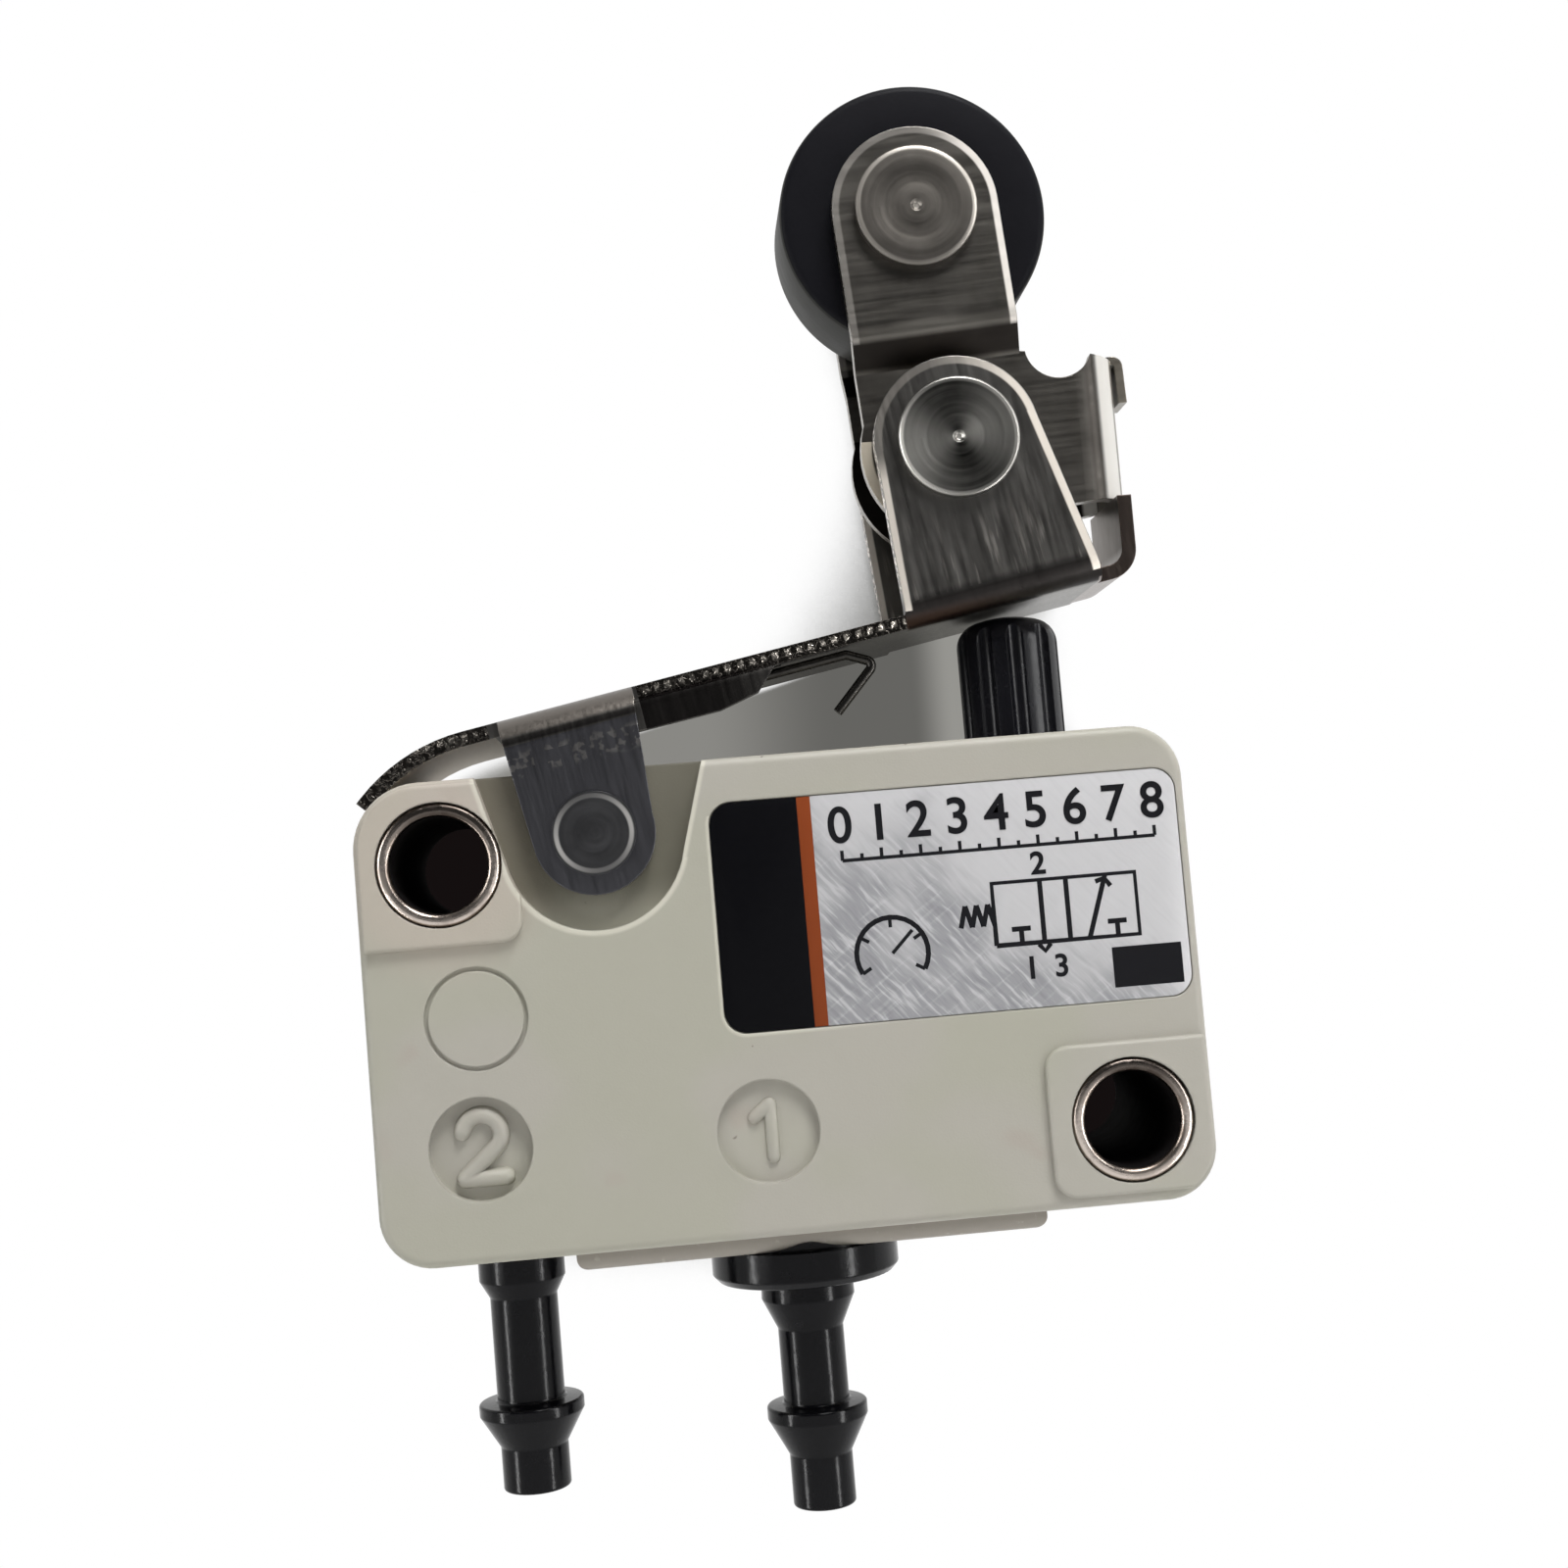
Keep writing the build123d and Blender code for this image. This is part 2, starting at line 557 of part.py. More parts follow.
def rocker_pin():
    return rod_y(ROCKER_X, ROCKER_Z, ROCKER_PIN_R, -CAVITY_HALF - 0.9, CAVITY_HALF + 0.9)


def rocker_spring():
    bottom = CHAMBER[2] + 0.2
    top = ROCKER_Z - ROCKER_SHEET / 2 - 0.2
    return Pos(RETURN_SPRING_X, MID_Y, bottom) * coil(1.25, 0.16, (top - bottom) / 4, top - bottom)


# Valve

def valve_body():
    """Inner moulding that holds both ports; its belly shows below the shells."""
    x0, x1 = VALVE_POCKET
    half = CAVITY_HALF - 0.02
    top = CHAMBER[2] - 0.01
    body = block(x0 + 0.02, x1 - 0.02, BODY_BOTTOM + 0.08, top, -half, half)
    belly = block(BULGE_LEFT, BULGE_RIGHT, BULGE_BOTTOM, BODY_BOTTOM + 0.2, -half, half)
    lower = belly.edges().filter_by_position(Axis.Z, BULGE_BOTTOM - 0.01, BULGE_BOTTOM + 0.01)
    body += fillet(lower, 0.45)
    body -= rod_z(PORT1_X, SLEEVE_R + 0.02, BULGE_BOTTOM - 1, SLEEVE_TOP + 0.02)
    body -= rod_z(PORT1_X, STEM_R + 0.3, SLEEVE_TOP - 1, 0)
    body -= rod_z(PORT2_X, PORT2_PLUG_R + 0.01, BODY_BOTTOM - 1, PORT2_TOP)
    body -= rod_z(PORT2_X, 0.6, PORT2_TOP - 1, CHANNEL_Z)
    run = Pos((PORT2_X + PORT1_X) / 2, MID_Y, CHANNEL_Z) * Rot(0, 90, 0) * Cylinder(0.6, PORT1_X - PORT2_X)
    return body - run


def valve_sleeve():
    """Seat insert with a stem bore, an outlet chamber with cross holes and two ring grooves."""
    sleeve = turned_z(PORT1_X, [
        (STEM_R + 0.03, SLEEVE_TOP), (SLEEVE_R, SLEEVE_TOP), (SLEEVE_R, SLEEVE_BOTTOM), (2.4, SLEEVE_BOTTOM),
        (2.4, SEAT_Z), (1.35, SEAT_Z), (1.35, SEAT_Z + 0.5), (1.9, SEAT_Z + 0.5), (1.9, -8.95),
        (STEM_SEAL_R, -8.95), (STEM_SEAL_R, -8.05), (STEM_R + 0.03, -8.05)])
    for z in RING_Z:
        sleeve -= turned_z(PORT1_X, [(2.45, z - 0.36), (4, z - 0.36), (4, z + 0.36), (2.45, z + 0.36)])
    low, high = CHANNEL_Z - 0.6, CHANNEL_Z + 0.6
    sleeve -= turned_z(PORT1_X, [(2.55, low), (4, low), (4, high), (2.55, high)])
    for turn in (0, 90):
        hole = Rot(0, 0, turn) * Rot(0, 90, 0) * Cylinder(0.45, 8)
        sleeve -= Pos(PORT1_X, MID_Y, CHANNEL_Z) * hole
    return sleeve


def sleeve_rings():
    group = [ring_z(PORT1_X, z, 2.68, 0.22) for z in RING_Z]
    return group[0] + group[1]


def stem_seal():
    """Lip seal between the sleeve and the stem."""
    return turned_z(PORT1_X, [(STEM_R + 0.02, -8.9), (STEM_SEAL_R - 0.02, -8.9), (STEM_SEAL_R - 0.02, -8.1),
                              (1.3, -8.1), (1.2, -8.5), (STEM_R + 0.02, -8.15)])


def valve_stem():
    """Hollow push stem; air from the outlet leaves through it when the valve is at rest."""
    top = ROCKER_Z - ROCKER_SHEET / 2 - TOUCH
    stem = rod_z(PORT1_X, STEM_R, SEAT_Z + 0.3, top) & Pos(PORT1_X, MID_Y, top - 3) * Sphere(3)
    stem -= rod_z(PORT1_X, STEM_BORE_R, SEAT_Z - 1, -3.6)
    return stem - Pos(PORT1_X, MID_Y, -4.1) * Rot(90, 0, 0) * Cylinder(0.3, 4)


def poppet():
    """Carrier of the rubber disc, with a stub that centres the spring."""
    z = SEAT_Z - 0.3
    return turned_z(PORT1_X, [(0, z - 0.4), (1.9, z - 0.4), (1.9, z), (2.1, z), (2.1, z - 0.7),
                              (0.8, z - 0.7), (0.7, z - 1.55), (0, z - 1.55)])


def poppet_seal():
    return rod_z(PORT1_X, 1.88, SEAT_Z - 0.7, SEAT_Z - 0.02)


def poppet_spring():
    bottom, top = PORT1_FLOOR + 0.18, SEAT_Z - 1.0 - 0.18
    return Pos(PORT1_X, MID_Y, bottom) * coil(1.2, 0.14, (top - bottom) / 3, top - bottom)


def barb(crest_r, shoulder_z, crest_z, cone_z, shank_r, tip_r, end_z):
    """Radius and height pairs of a hose barb, from the end of its shank down to the tip."""
    return [(shank_r, shoulder_z + 0.05), (crest_r, shoulder_z), (crest_r, crest_z),
            (tip_r, cone_z), (tip_r, end_z)]


def port1_fitting():
    """Supply port: a cup that closes the valve bore, a wide flange and a hose barb."""
    spigot_r = SLEEVE_R - 0.01
    upper = [(1.7, SLEEVE_BOTTOM - 0.03), (spigot_r, SLEEVE_BOTTOM - 0.03), (spigot_r, PORT1_RING_Z + 0.33),
             (2.45, PORT1_RING_Z + 0.33), (2.45, PORT1_RING_Z - 0.33), (spigot_r, PORT1_RING_Z - 0.33),
             (spigot_r, BULGE_BOTTOM - 0.02), (3.28, BULGE_BOTTOM - 0.02), (3.28, -14.95), (3.05, -15.2),
             (1.62, -15.2), (1.64, -15.95), (1.15, -17.0)]
    teeth = barb(1.76, -19.65, -20.1, -21.35, 1.15, 1.1, -23.15)
    bore = [(BARB_BORE_R, -23.15), (BARB_BORE_R, PORT1_FLOOR), (1.7, PORT1_FLOOR)]
    return turned_z(PORT1_X, upper + teeth + bore, soft=[*upper[-5:], *teeth])


def port1_ring():
    return ring_z(PORT1_X, PORT1_RING_Z, 2.68, 0.22)


def port2_fitting():
    """Outlet port: a plug with a ring groove, a small collar and a hose barb."""
    r = PORT2_PLUG_R
    upper = [(BARB_BORE_R, PORT2_TOP - 0.02), (r, PORT2_TOP - 0.02), (r, PORT2_RING_Z + 0.25),
             (1.1, PORT2_RING_Z + 0.25), (1.1, PORT2_RING_Z - 0.25), (r, PORT2_RING_Z - 0.25),
             (r, BODY_BOTTOM + 0.06), (1.5, BODY_BOTTOM + 0.06), (1.5, -14.4), (1.17, -15.0)]
    teeth = barb(1.82, -18.6, -19.0, -20.1, 1.17, 1.17, -21.6)
    outline = upper + teeth + [(BARB_BORE_R, -21.6)]
    return turned_z(PORT2_X, outline, soft=[*upper[-2:], *teeth])


def port2_ring():
    return ring_z(PORT2_X, PORT2_RING_Z, 1.27, 0.16)


PARTS = {
    "housing_front": housing_front,
    "housing_rear": housing_rear,
    "upper_rivet": lambda: hollow_rivet(*HOLES["upper"]),
    "lower_rivet": lambda: hollow_rivet(*HOLES["lower"]),
    "label": label,
    "valve_body": valve_body,
    "valve_sleeve": valve_sleeve,
    "sleeve_rings": sleeve_rings,
    "stem_seal": stem_seal,
    "valve_stem": valve_stem,
    "poppet": poppet,
    "poppet_seal": poppet_seal,
    "poppet_spring": poppet_spring,
    "port1_fitting": port1_fitting,
    "port1_ring": port1_ring,
    "port2_fitting": port2_fitting,
    "port2_ring": port2_ring,
    "rocker": rocker,
    "rocker_pin": rocker_pin,
    "rocker_spring": rocker_spring,
    "plunger": plunger,
    "plunger_guide": plunger_guide,
    "lever": lever,
    "lever_pin": lever_pin,
    "lever_spring": lever_spring,
    "arm_pin": arm_pin,
    "arm_spacers": arm_spacers,
    "arm_spring": arm_spring,
    "roller_arm": roller_arm,
    "roller_pin": roller_pin,
    "roller": roller,
    "roller_bush": roller_bush,
}

os.makedirs("parts", exist_ok=True)
for name, make in PARTS.items():
    shape = make()
    export_step(shape, f"parts/{name}.step")
    print(name, len(shape.solids()), round(shape.volume, 3))
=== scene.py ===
from math import cos, pi, radians, sin

import bmesh
import bpy
from mathutils import Matrix, Vector


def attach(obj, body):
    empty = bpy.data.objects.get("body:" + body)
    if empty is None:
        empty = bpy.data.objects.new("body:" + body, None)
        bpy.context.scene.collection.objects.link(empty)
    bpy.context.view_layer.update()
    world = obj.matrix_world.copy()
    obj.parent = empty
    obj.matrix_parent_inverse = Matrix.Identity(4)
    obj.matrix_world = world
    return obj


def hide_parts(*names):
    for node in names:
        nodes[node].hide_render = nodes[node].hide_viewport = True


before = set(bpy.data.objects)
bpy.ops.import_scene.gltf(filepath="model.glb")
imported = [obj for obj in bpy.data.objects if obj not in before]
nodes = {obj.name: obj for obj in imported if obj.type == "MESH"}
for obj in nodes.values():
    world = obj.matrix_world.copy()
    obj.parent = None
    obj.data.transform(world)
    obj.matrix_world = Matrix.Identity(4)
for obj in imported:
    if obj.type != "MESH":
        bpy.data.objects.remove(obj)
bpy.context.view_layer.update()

mm = 0.001
print("frame loaded:", len(nodes), "nodes")

# Places shared by several pieces, in millimetres
midY = -5.15
faceY = -10.05                  # main front face of the body
hinge = (5.15, 0.65)
leverAngle = radians(10.4)
armPin = (18.63, 13.25)
rollerPin = (18.02, 21.75)
armLean = radians(4.1)
holes = {"upper": (0.0, 0.0), "lower": (22.2, -10.3)}
boreRadius = 1.6


# Camera, floor, backdrop and lights

cameraSetup = {
    "place": (7.456, -78.088, -2.223),
    "turn": (-3.350, -3.452, -4.605),       # degrees about the lens's own axes
    "lens": 47.07,
}


def makeCamera(setup):
    camera = bpy.data.cameras.new("photoCamera")
    camera.lens = setup["lens"]
    camera.clip_start = mm
    rig = bpy.data.objects.new("photoCamera", camera)
    rx, ry, rz = [radians(a) for a in setup["turn"]]
    turn = Matrix.Rotation(rz, 3, "Z") @ Matrix.Rotation(ry, 3, "Y") @ Matrix.Rotation(rx, 3, "X")
    lensView = turn @ Matrix(((1, 0, 0), (0, 0, -1), (0, 1, 0)))
    facing = lensView.transposed() @ Matrix(((1, 0, 0), (0, -1, 0), (0, 0, -1)))
    rig.matrix_world = Matrix.Translation(Vector(setup["place"]) * mm) @ facing.to_4x4()
    bpy.context.scene.collection.objects.link(rig)
    bpy.context.scene.camera = rig
    bpy.context.scene.view_settings.view_transform = "Standard"


# A socket in a material, on which sums are written as plain expressions

class Value:
    def __init__(self, surface, socket):
        self.surface = surface
        self.socket = socket

    def maths(self, operation, *others):
        return self.surface.node("Math", {"operation": operation}, [self, *others])

    def __add__(self, other):
        return self.maths("ADD", other)

    def __sub__(self, other):
        return self.maths("SUBTRACT", other)

    def __mul__(self, other):
        return self.maths("MULTIPLY", other)

    def __pow__(self, other):
        return self.maths("POWER", other)

    def __radd__(self, other):
        return self.maths("ADD", other)

    def __rmul__(self, other):
        return self.maths("MULTIPLY", other)

    def __rsub__(self, other):
        return self.surface.node("Math", {"operation": "SUBTRACT"}, [other, self])

    def __abs__(self):
        return self.maths("ABSOLUTE")

    def __gt__(self, other):
        return self.maths("GREATER_THAN", other)

    def __lt__(self, other):
        return self.maths("LESS_THAN", other)

    def between(self, low, high):
        return (self > low) * (self < high)

    def step(self, low, high):                  # 0 below low, 1 above high, soft between
        values = {"Value": self, "From Min": low, "From Max": high}
        return self.surface.node("MapRange", {"interpolation_type": "SMOOTHSTEP"}, values)


class Maker:
    def __init__(self, tree):
        self.tree = tree

    def node(self, kind, settings=None, inputs=None, out=0):
        made = self.tree.nodes.new("ShaderNode" + kind)
        for name, value in (settings or {}).items():
            setattr(made, name, value)
        pairs = inputs.items() if isinstance(inputs, dict) else enumerate(inputs or [])
        for key, value in pairs:
            self.feed(made.inputs[key], value)
        return Value(self, made.outputs[out])

    def feed(self, socket, value):
        if isinstance(value, Value):
            self.tree.links.new(value.socket, socket)
        elif socket.type == "RGBA" and len(value) == 3:
            socket.default_value = (*value, 1)
        else:
            socket.default_value = value

    def part(self, vector, index):
        return self.node("SeparateXYZ", inputs={"Vector": vector}, out=index)

    def rays(self, *kinds):
        path = self.node("LightPath").socket.node
        return [Value(self, path.outputs["Is %s Ray" % kind]) for kind in kinds]


class Surface(Maker):
    def __init__(self, name, colour, roughness, metallic=0.0, gloss=0.5):
        self.material = bpy.data.materials.new(name)
        self.material.use_nodes = True
        super().__init__(self.material.node_tree)
        self.shader = self.tree.nodes["Principled BSDF"]
        self.put("Specular IOR Level", gloss)
        self.put("Base Color", colour)
        self.put("Roughness", roughness)
        self.put("Metallic", metallic)
        place = self.tree.nodes.new("ShaderNodeTexCoord")
        metres, normal = Value(self, place.outputs["Object"]), Value(self, place.outputs["Normal"])
        self.place = self.node("VectorMath", {"operation": "SCALE"}, {"Vector": metres, "Scale": 1 / mm})
        self.x, self.y, self.z = [self.part(self.place, i) for i in range(3)]
        self.north, self.up = self.part(normal, 1), self.part(normal, 2)
        self.ny = abs(self.north)
        self.side = abs(self.y - midY)

    def put(self, name, value):
        self.feed(self.shader.inputs[name], value)

    def noise(self, scale, detail=3.0, stretch=(1, 1, 1), vector=None):
        spot = self.node("VectorMath", {"operation": "MULTIPLY"}, [vector or self.place, stretch])
        return self.node("TexNoise", inputs={"Vector": spot, "Scale": scale, "Detail": detail})

    def mix(self, share, first, second):        # 6, 7 and 2 are the Mix node's colour sockets
        return self.node("Mix", {"data_type": "RGBA"}, {0: share, 6: first, 7: second}, out=2)

    def bump(self, height, depth, strength=1.0, normal=None):
        values = {"Height": height, "Distance": depth * mm, "Strength": strength}
        if normal:
            values["Normal"] = normal
        return self.node("Bump", inputs=values)

    def show(self, share, first, second):       # a blend of two shaders is what is seen
        mixed = self.node("MixShader", inputs=[share, first, second])
        self.tree.links.new(mixed.socket, self.tree.nodes["Material Output"].inputs["Surface"])

    def eased(self, radius):                    # edges that catch the light as if rounded
        return self.node("Bevel", {"samples": 4}, {"Radius": radius * mm})

    def turned(self, angle, centre):            # coordinates along and across a tilted part
        dx, dz = self.x - centre[0], self.z - centre[1]
        return dx * cos(angle) + dz * sin(angle), dz * cos(angle) - dx * sin(angle)

    def cloudTurn(self, look):                  # slow change round a turned face
        dx, dz = self.x - look["centre"][0], self.z - look["centre"][1]
        return dz.maths("ARCTAN2", dx) * 0.35

    def bowTie(self, look):                     # painted sheen: two opposite lighter sectors, where light catches a turned face
        dx, dz = self.x - look["centre"][0], self.z - look["centre"][1]
        angle = dz.maths("ARCTAN2", dx) - radians(look["bowAngle"])
        return abs(angle.maths("COSINE")) ** 2.5

    def fromBox(self, x0, x1, z0, z1, corner):  # distance outside a rounded box, seen along Y
        dx = (abs(self.x - (x0 + x1) / 2) - (x1 - x0) / 2 + corner).maths("MAXIMUM", 0.0)
        dz = (abs(self.z - (z0 + z1) / 2) - (z1 - z0) / 2 + corner).maths("MAXIMUM", 0.0)
        return (dx * dx + dz * dz) ** 0.5 - corner

    def fromPoint(self, centre):                # distance from an axis along Y
        dx, dz = self.x - centre[0], self.z - centre[1]
        return (dx * dx + dz * dz) ** 0.5


def housingPlastic():
    look = {"green": (0.376, 0.366, 0.305), "pink": (0.388, 0.370, 0.324), "speck": (0.14, 0.12, 0.10),
            "stain": (0.37, 0.325, 0.28), "rose": (0.47, 0.405, 0.35), "shade": (0.105, 0.098, 0.068),
            "lit": (0.62, 0.60, 0.51), "roughness": 0.48, "grain": 14.0, "grainDepth": 0.006,
            "bowlCentre": (5.12, 0.42), "bowlRadius": 3.08, "bowlTop": -0.4,
            "leftWall": (106.07, (2.28, -0.55)), "rightWall": (74.36, (7.95, -0.55)),     # angle and foot
            "seat": (8.95, 24.7, -6.38, 1.32, 0.75)}
    s = Surface("housingPlastic", look["green"], look["roughness"], gloss=0.4)
    cloud = s.noise(0.16, 2.0).step(0.42, 0.60)
    colour = s.mix(cloud, look["green"], look["pink"])
    stain = s.noise(0.30, 2.0).step(0.66, 0.74)
    colour = s.mix(stain * 0.5, colour, look["stain"])
    warm = 1 - s.fromPoint(holes["upper"]).step(2.4, 4.4)
    colour = s.mix(warm * 0.55, colour, look["rose"])
    dust = s.noise(2.7, 0.0).step(0.85, 0.875)
    colour = s.mix(dust * 0.7, colour, look["speck"])
    # Painted shade under the lever, on the floor of its recess, darkest towards the top
    recessShade = s.y.between(-9.5, -9.0) * (s.ny > 0.7)
    colour = s.mix(recessShade * (0.12 + s.z.step(-2.7, -0.8) * 0.72), colour, look["shade"])
    # Painted highlights on the rims of that recess, a bowl with a wall rising from each side, and on the
    # label's seat
    inBowl, overBowl = s.z < look["bowlTop"], s.z > look["bowlTop"]
    bowl = abs(s.fromPoint(look["bowlCentre"]) - look["bowlRadius"]) * inBowl + overBowl
    leftAngle, leftFoot = look["leftWall"]
    rightAngle, rightFoot = look["rightWall"]
    leftWall = abs(s.turned(radians(leftAngle), leftFoot)[1] - 0.06) + inBowl
    rightWall = abs(s.turned(radians(rightAngle), rightFoot)[1] + 0.06) + inBowl
    reach = bowl.maths("MINIMUM", leftWall).maths("MINIMUM", rightWall)
    seat = abs(s.fromBox(*look["seat"]) - 0.05) + (s.z > 0.9)
    seatHighlight = (1 - seat.step(0.02, 0.10)) * (1 - s.x.step(10.5, 15.0))
    front = (s.y < faceY + 0.15) * (s.ny > 0.5)
    rimHighlights = (1 - reach.step(0.02, 0.15)) * 0.7 + seatHighlight * 0.5
    colour = s.mix(rimHighlights * front, colour, look["lit"])
    s.put("Base Color", colour)
    grain = s.noise(look["grain"], 3.0)
    s.put("Roughness", look["roughness"] + (s.noise(0.7) - 0.5) * 0.14)
    s.put("Normal", s.bump(grain, look["grainDepth"], 0.7, s.eased(0.10)))
    return s.material


def labelFilm():
    look = {"bright": (0.545, 0.54, 0.55), "dull": (0.32, 0.32, 0.335), "scratch": (0.64, 0.64, 0.65),
            "groove": (0.19, 0.19, 0.205), "roughness": 0.42, "centre": (17.0, -3.0),
            "scratchAngle": -50, "crossAngle": 35}
    s = Surface("labelFilm", look["bright"], look["roughness"], metallic=0.1)
    along, across = s.turned(radians(look["scratchAngle"]), look["centre"])
    # Painted shade with dull patches: the film darkens towards the lower left, where more scratches gather
    dulledAndShaded = (s.noise(0.35, 2.0) * 2.6 - (s.x - 17) * 0.10 - (s.z + 3) * 0.16 - 0.9).step(0.0, 1.0)
    base = s.mix(dulledAndShaded, look["bright"], look["dull"])
    # Long wavy scratches, and fainter ones across them
    wavy = across + s.noise(0.8, 2.0) * 0.25
    first = s.noise(1.0, 3.0, vector=s.node("CombineXYZ", inputs=[along * 0.7, wavy * 6.5, 0.0]))
    crossAlong, crossOver = s.turned(radians(look["crossAngle"]), look["centre"])
    second = s.noise(1.0, 3.0, vector=s.node("CombineXYZ", inputs=[crossAlong * 0.4, crossOver * 5.0, 3.0]))
    marks = first.step(0.50, 0.66) * (0.10 + dulledAndShaded * 0.55) + second.step(0.56, 0.70) * dulledAndShaded * 0.22
    grooves = (1 - first.step(0.34, 0.48)) * (0.04 + dulledAndShaded * 0.30)
    colour = s.mix(marks.maths("MINIMUM", 1.0), base, look["scratch"])
    s.put("Base Color", s.mix(grooves, colour, look["groove"]))
    s.put("Roughness", look["roughness"] - marks * 0.12)
    s.put("Normal", s.bump(first + second, 0.004))
    return s.material


def labelInk(name, colour):
    roughness = 0.35
    s = Surface(name, colour, roughness, gloss=0.05)
    s.put("Roughness", roughness + (s.noise(3.0) - 0.5) * 0.15)
    s.put("Normal", s.bump(s.noise(16.0), 0.002))
    return s.material


def sheetSteel(name, look, lean, centre):
    s = Surface(name, look["face"], look["roughness"], metallic=1.0)
    s.along, s.across = s.turned(lean, centre)
    grain = s.node("CombineXYZ", inputs=[s.along * look["grain"][0], s.y * 3.0, s.across * look["grain"][1]])
    s.rolled = s.noise(2.0, 5.0, vector=grain)
    cloud = s.noise(0.55, 3.0)
    s.chips = s.noise(5.5, 2.0).step(0.44, 0.62)
    s.flat = s.ny > 0.8
    s.upright = s.ny < 0.4
    shade = 0.72 + s.rolled * look["rolling"] + (cloud - 0.5)
    s.tint = s.node("VectorMath", {"operation": "SCALE"}, {"Vector": look["face"], "Scale": shade})
    return s


def steelFinish(s, look, edge):
    s.put("Base Color", s.tint)
    s.put("Roughness", look["roughness"] + (s.rolled - 0.5) * 0.25 - edge * 0.08)
    s.put("Normal", s.bump(s.rolled + s.chips * edge * 3, 0.006, 0.8, s.eased(0.05)))
    return s.material


def leverSteel():
    look = {"face": (0.19, 0.183, 0.172), "ear": (0.125, 0.125, 0.138), "band": (0.155, 0.140, 0.125),
            "paintedShade": (0.010, 0.008, 0.008), "rust": (0.070, 0.040, 0.030), "edge": (0.90, 0.83, 0.74),
            "edgeDark": (0.05, 0.045, 0.04), "tabEdge": (0.10, 0.08, 0.07), "tabFace": (0.40, 0.36, 0.34),
            "streak": (0.55, 0.52, 0.48), "roughness": 0.34, "grain": (3.2, 0.25), "rolling": 0.35,
            "earSpan": (-2.6, 2.6), "bracketSpan": (12.1, 19.4), "plateSides": (3.2, 3.75),
            "rimRadius": 2.75, "rightSlope": (-72, (21.37, 14.14)), "leftSlope": (-84.5, (15.756, 12.97))}
    s = sheetSteel("leverSteel", look, leverAngle, hinge)
    s.earSpan = s.along.between(*look["earSpan"])
    s.bracketSpan = s.along.between(*look["bracketSpan"])
    leverEar(s, look)
    bracket = s.bracketSpan * (s.side > 2.9)
    bracketBend(s, look, bracket)
    bracketRims(s, look, bracket)
    plateEdge = leverPlateEdge(s, look)
    cuts = leverCuts(s, look)
    return steelFinish(s, look, (cuts + plateEdge).maths("MINIMUM", 1.0))


def leverEar(s, look):                          # dark, with punch marks below a lighter bend, a painted shade in its crease and a painted reflection under the tip
    ear = s.earSpan * (s.side > 3.7)
    s.tint = s.mix(ear * (s.across < 3.5), s.tint, look["ear"])
    cell = s.node("CombineXYZ", inputs=[(s.along * 2.3).maths("FLOOR"), (s.across * 2.6).maths("FLOOR"), 0.0])
    punched = s.node("TexWhiteNoise", inputs={"Vector": cell}) > 0.35
    prints = s.noise(4.6, 1.0).step(0.46, 0.60) * punched
    printed = ear * s.across.step(2.30, 2.55) * (1 - s.across.step(3.10, 3.35))
    s.tint = s.mix(printed * prints * 0.30, s.tint, look["streak"])
    # Painted reflection: the underside near the tip is made light
    under = (s.up < -0.3) * (s.along < -2.4) * (s.side < 3.6)
    s.tint = s.mix(under * 0.8, s.tint, look["edge"])
    s.tint = s.mix(ear * s.across.step(3.72, 3.9), s.tint, look["band"])
    # Painted shade in the crease of the bend
    crease = ear * s.across.step(3.45, 3.6) * (1 - s.across.step(3.72, 3.88))
    s.tint = s.mix(crease * 0.8, s.tint, look["paintedShade"])


def bracketBend(s, look, bracket):              # streaks rise from the bend, a painted shade lies along its fold, reddish at its left end
    high = (1 - s.across.step(5.4, 8.4)) * (s.across > 4.9)
    rising = s.node("CombineXYZ", inputs=[s.along, 0.0, s.across * 0.12])
    streaks = s.noise(3.2, 3.0, vector=rising).step(0.53, 0.70)
    s.tint = s.mix(bracket * high * streaks * 0.75, s.tint, look["streak"])
    # Painted shade along the fold
    fold = bracket * (1 - s.across.step(4.75, 5.15))
    s.tint = s.mix(fold * 0.9, s.tint, look["paintedShade"])
    low = fold * (1 - s.across.step(4.15, 4.6)) * (1 - s.along.step(12.8, 17.0))
    s.tint = s.mix(low * 0.7, s.tint, look["rust"])


def bracketRims(s, look, bracket):              # painted highlights along both slopes and the arc between them, fainter to the left
    rightAngle, rightTop = look["rightSlope"]
    rightAlong, rightAcross = s.turned(radians(rightAngle), rightTop)
    right = (1 - abs(rightAcross + 0.14).step(0.10, 0.17)) * rightAlong.between(0.0, 6.2)
    leftAngle, leftTop = look["leftSlope"]
    leftAlong, leftAcross = s.turned(radians(leftAngle), leftTop)
    left = (1 - abs(leftAcross - 0.13).step(0.08, 0.16)) * leftAlong.between(0.0, 5.6)
    left = left * (0.22 + leftAlong.step(0.0, 1.2) * 0.58)
    arc = (1 - abs(s.fromPoint(armPin) - look["rimRadius"]).step(0.09, 0.17)) * (rightAlong < 0.0)
    arc = arc * (leftAlong < 0.0) * (0.22 + (s.x - armPin[0]).step(-1.0, 2.4) * 0.78)
    rimHighlight = (arc + right + left).maths("MINIMUM", 1.0) * bracket * s.flat
    s.tint = s.mix(rimHighlight, s.tint, look["edge"])
    s.put("Metallic", 1 - rimHighlight * 0.7)


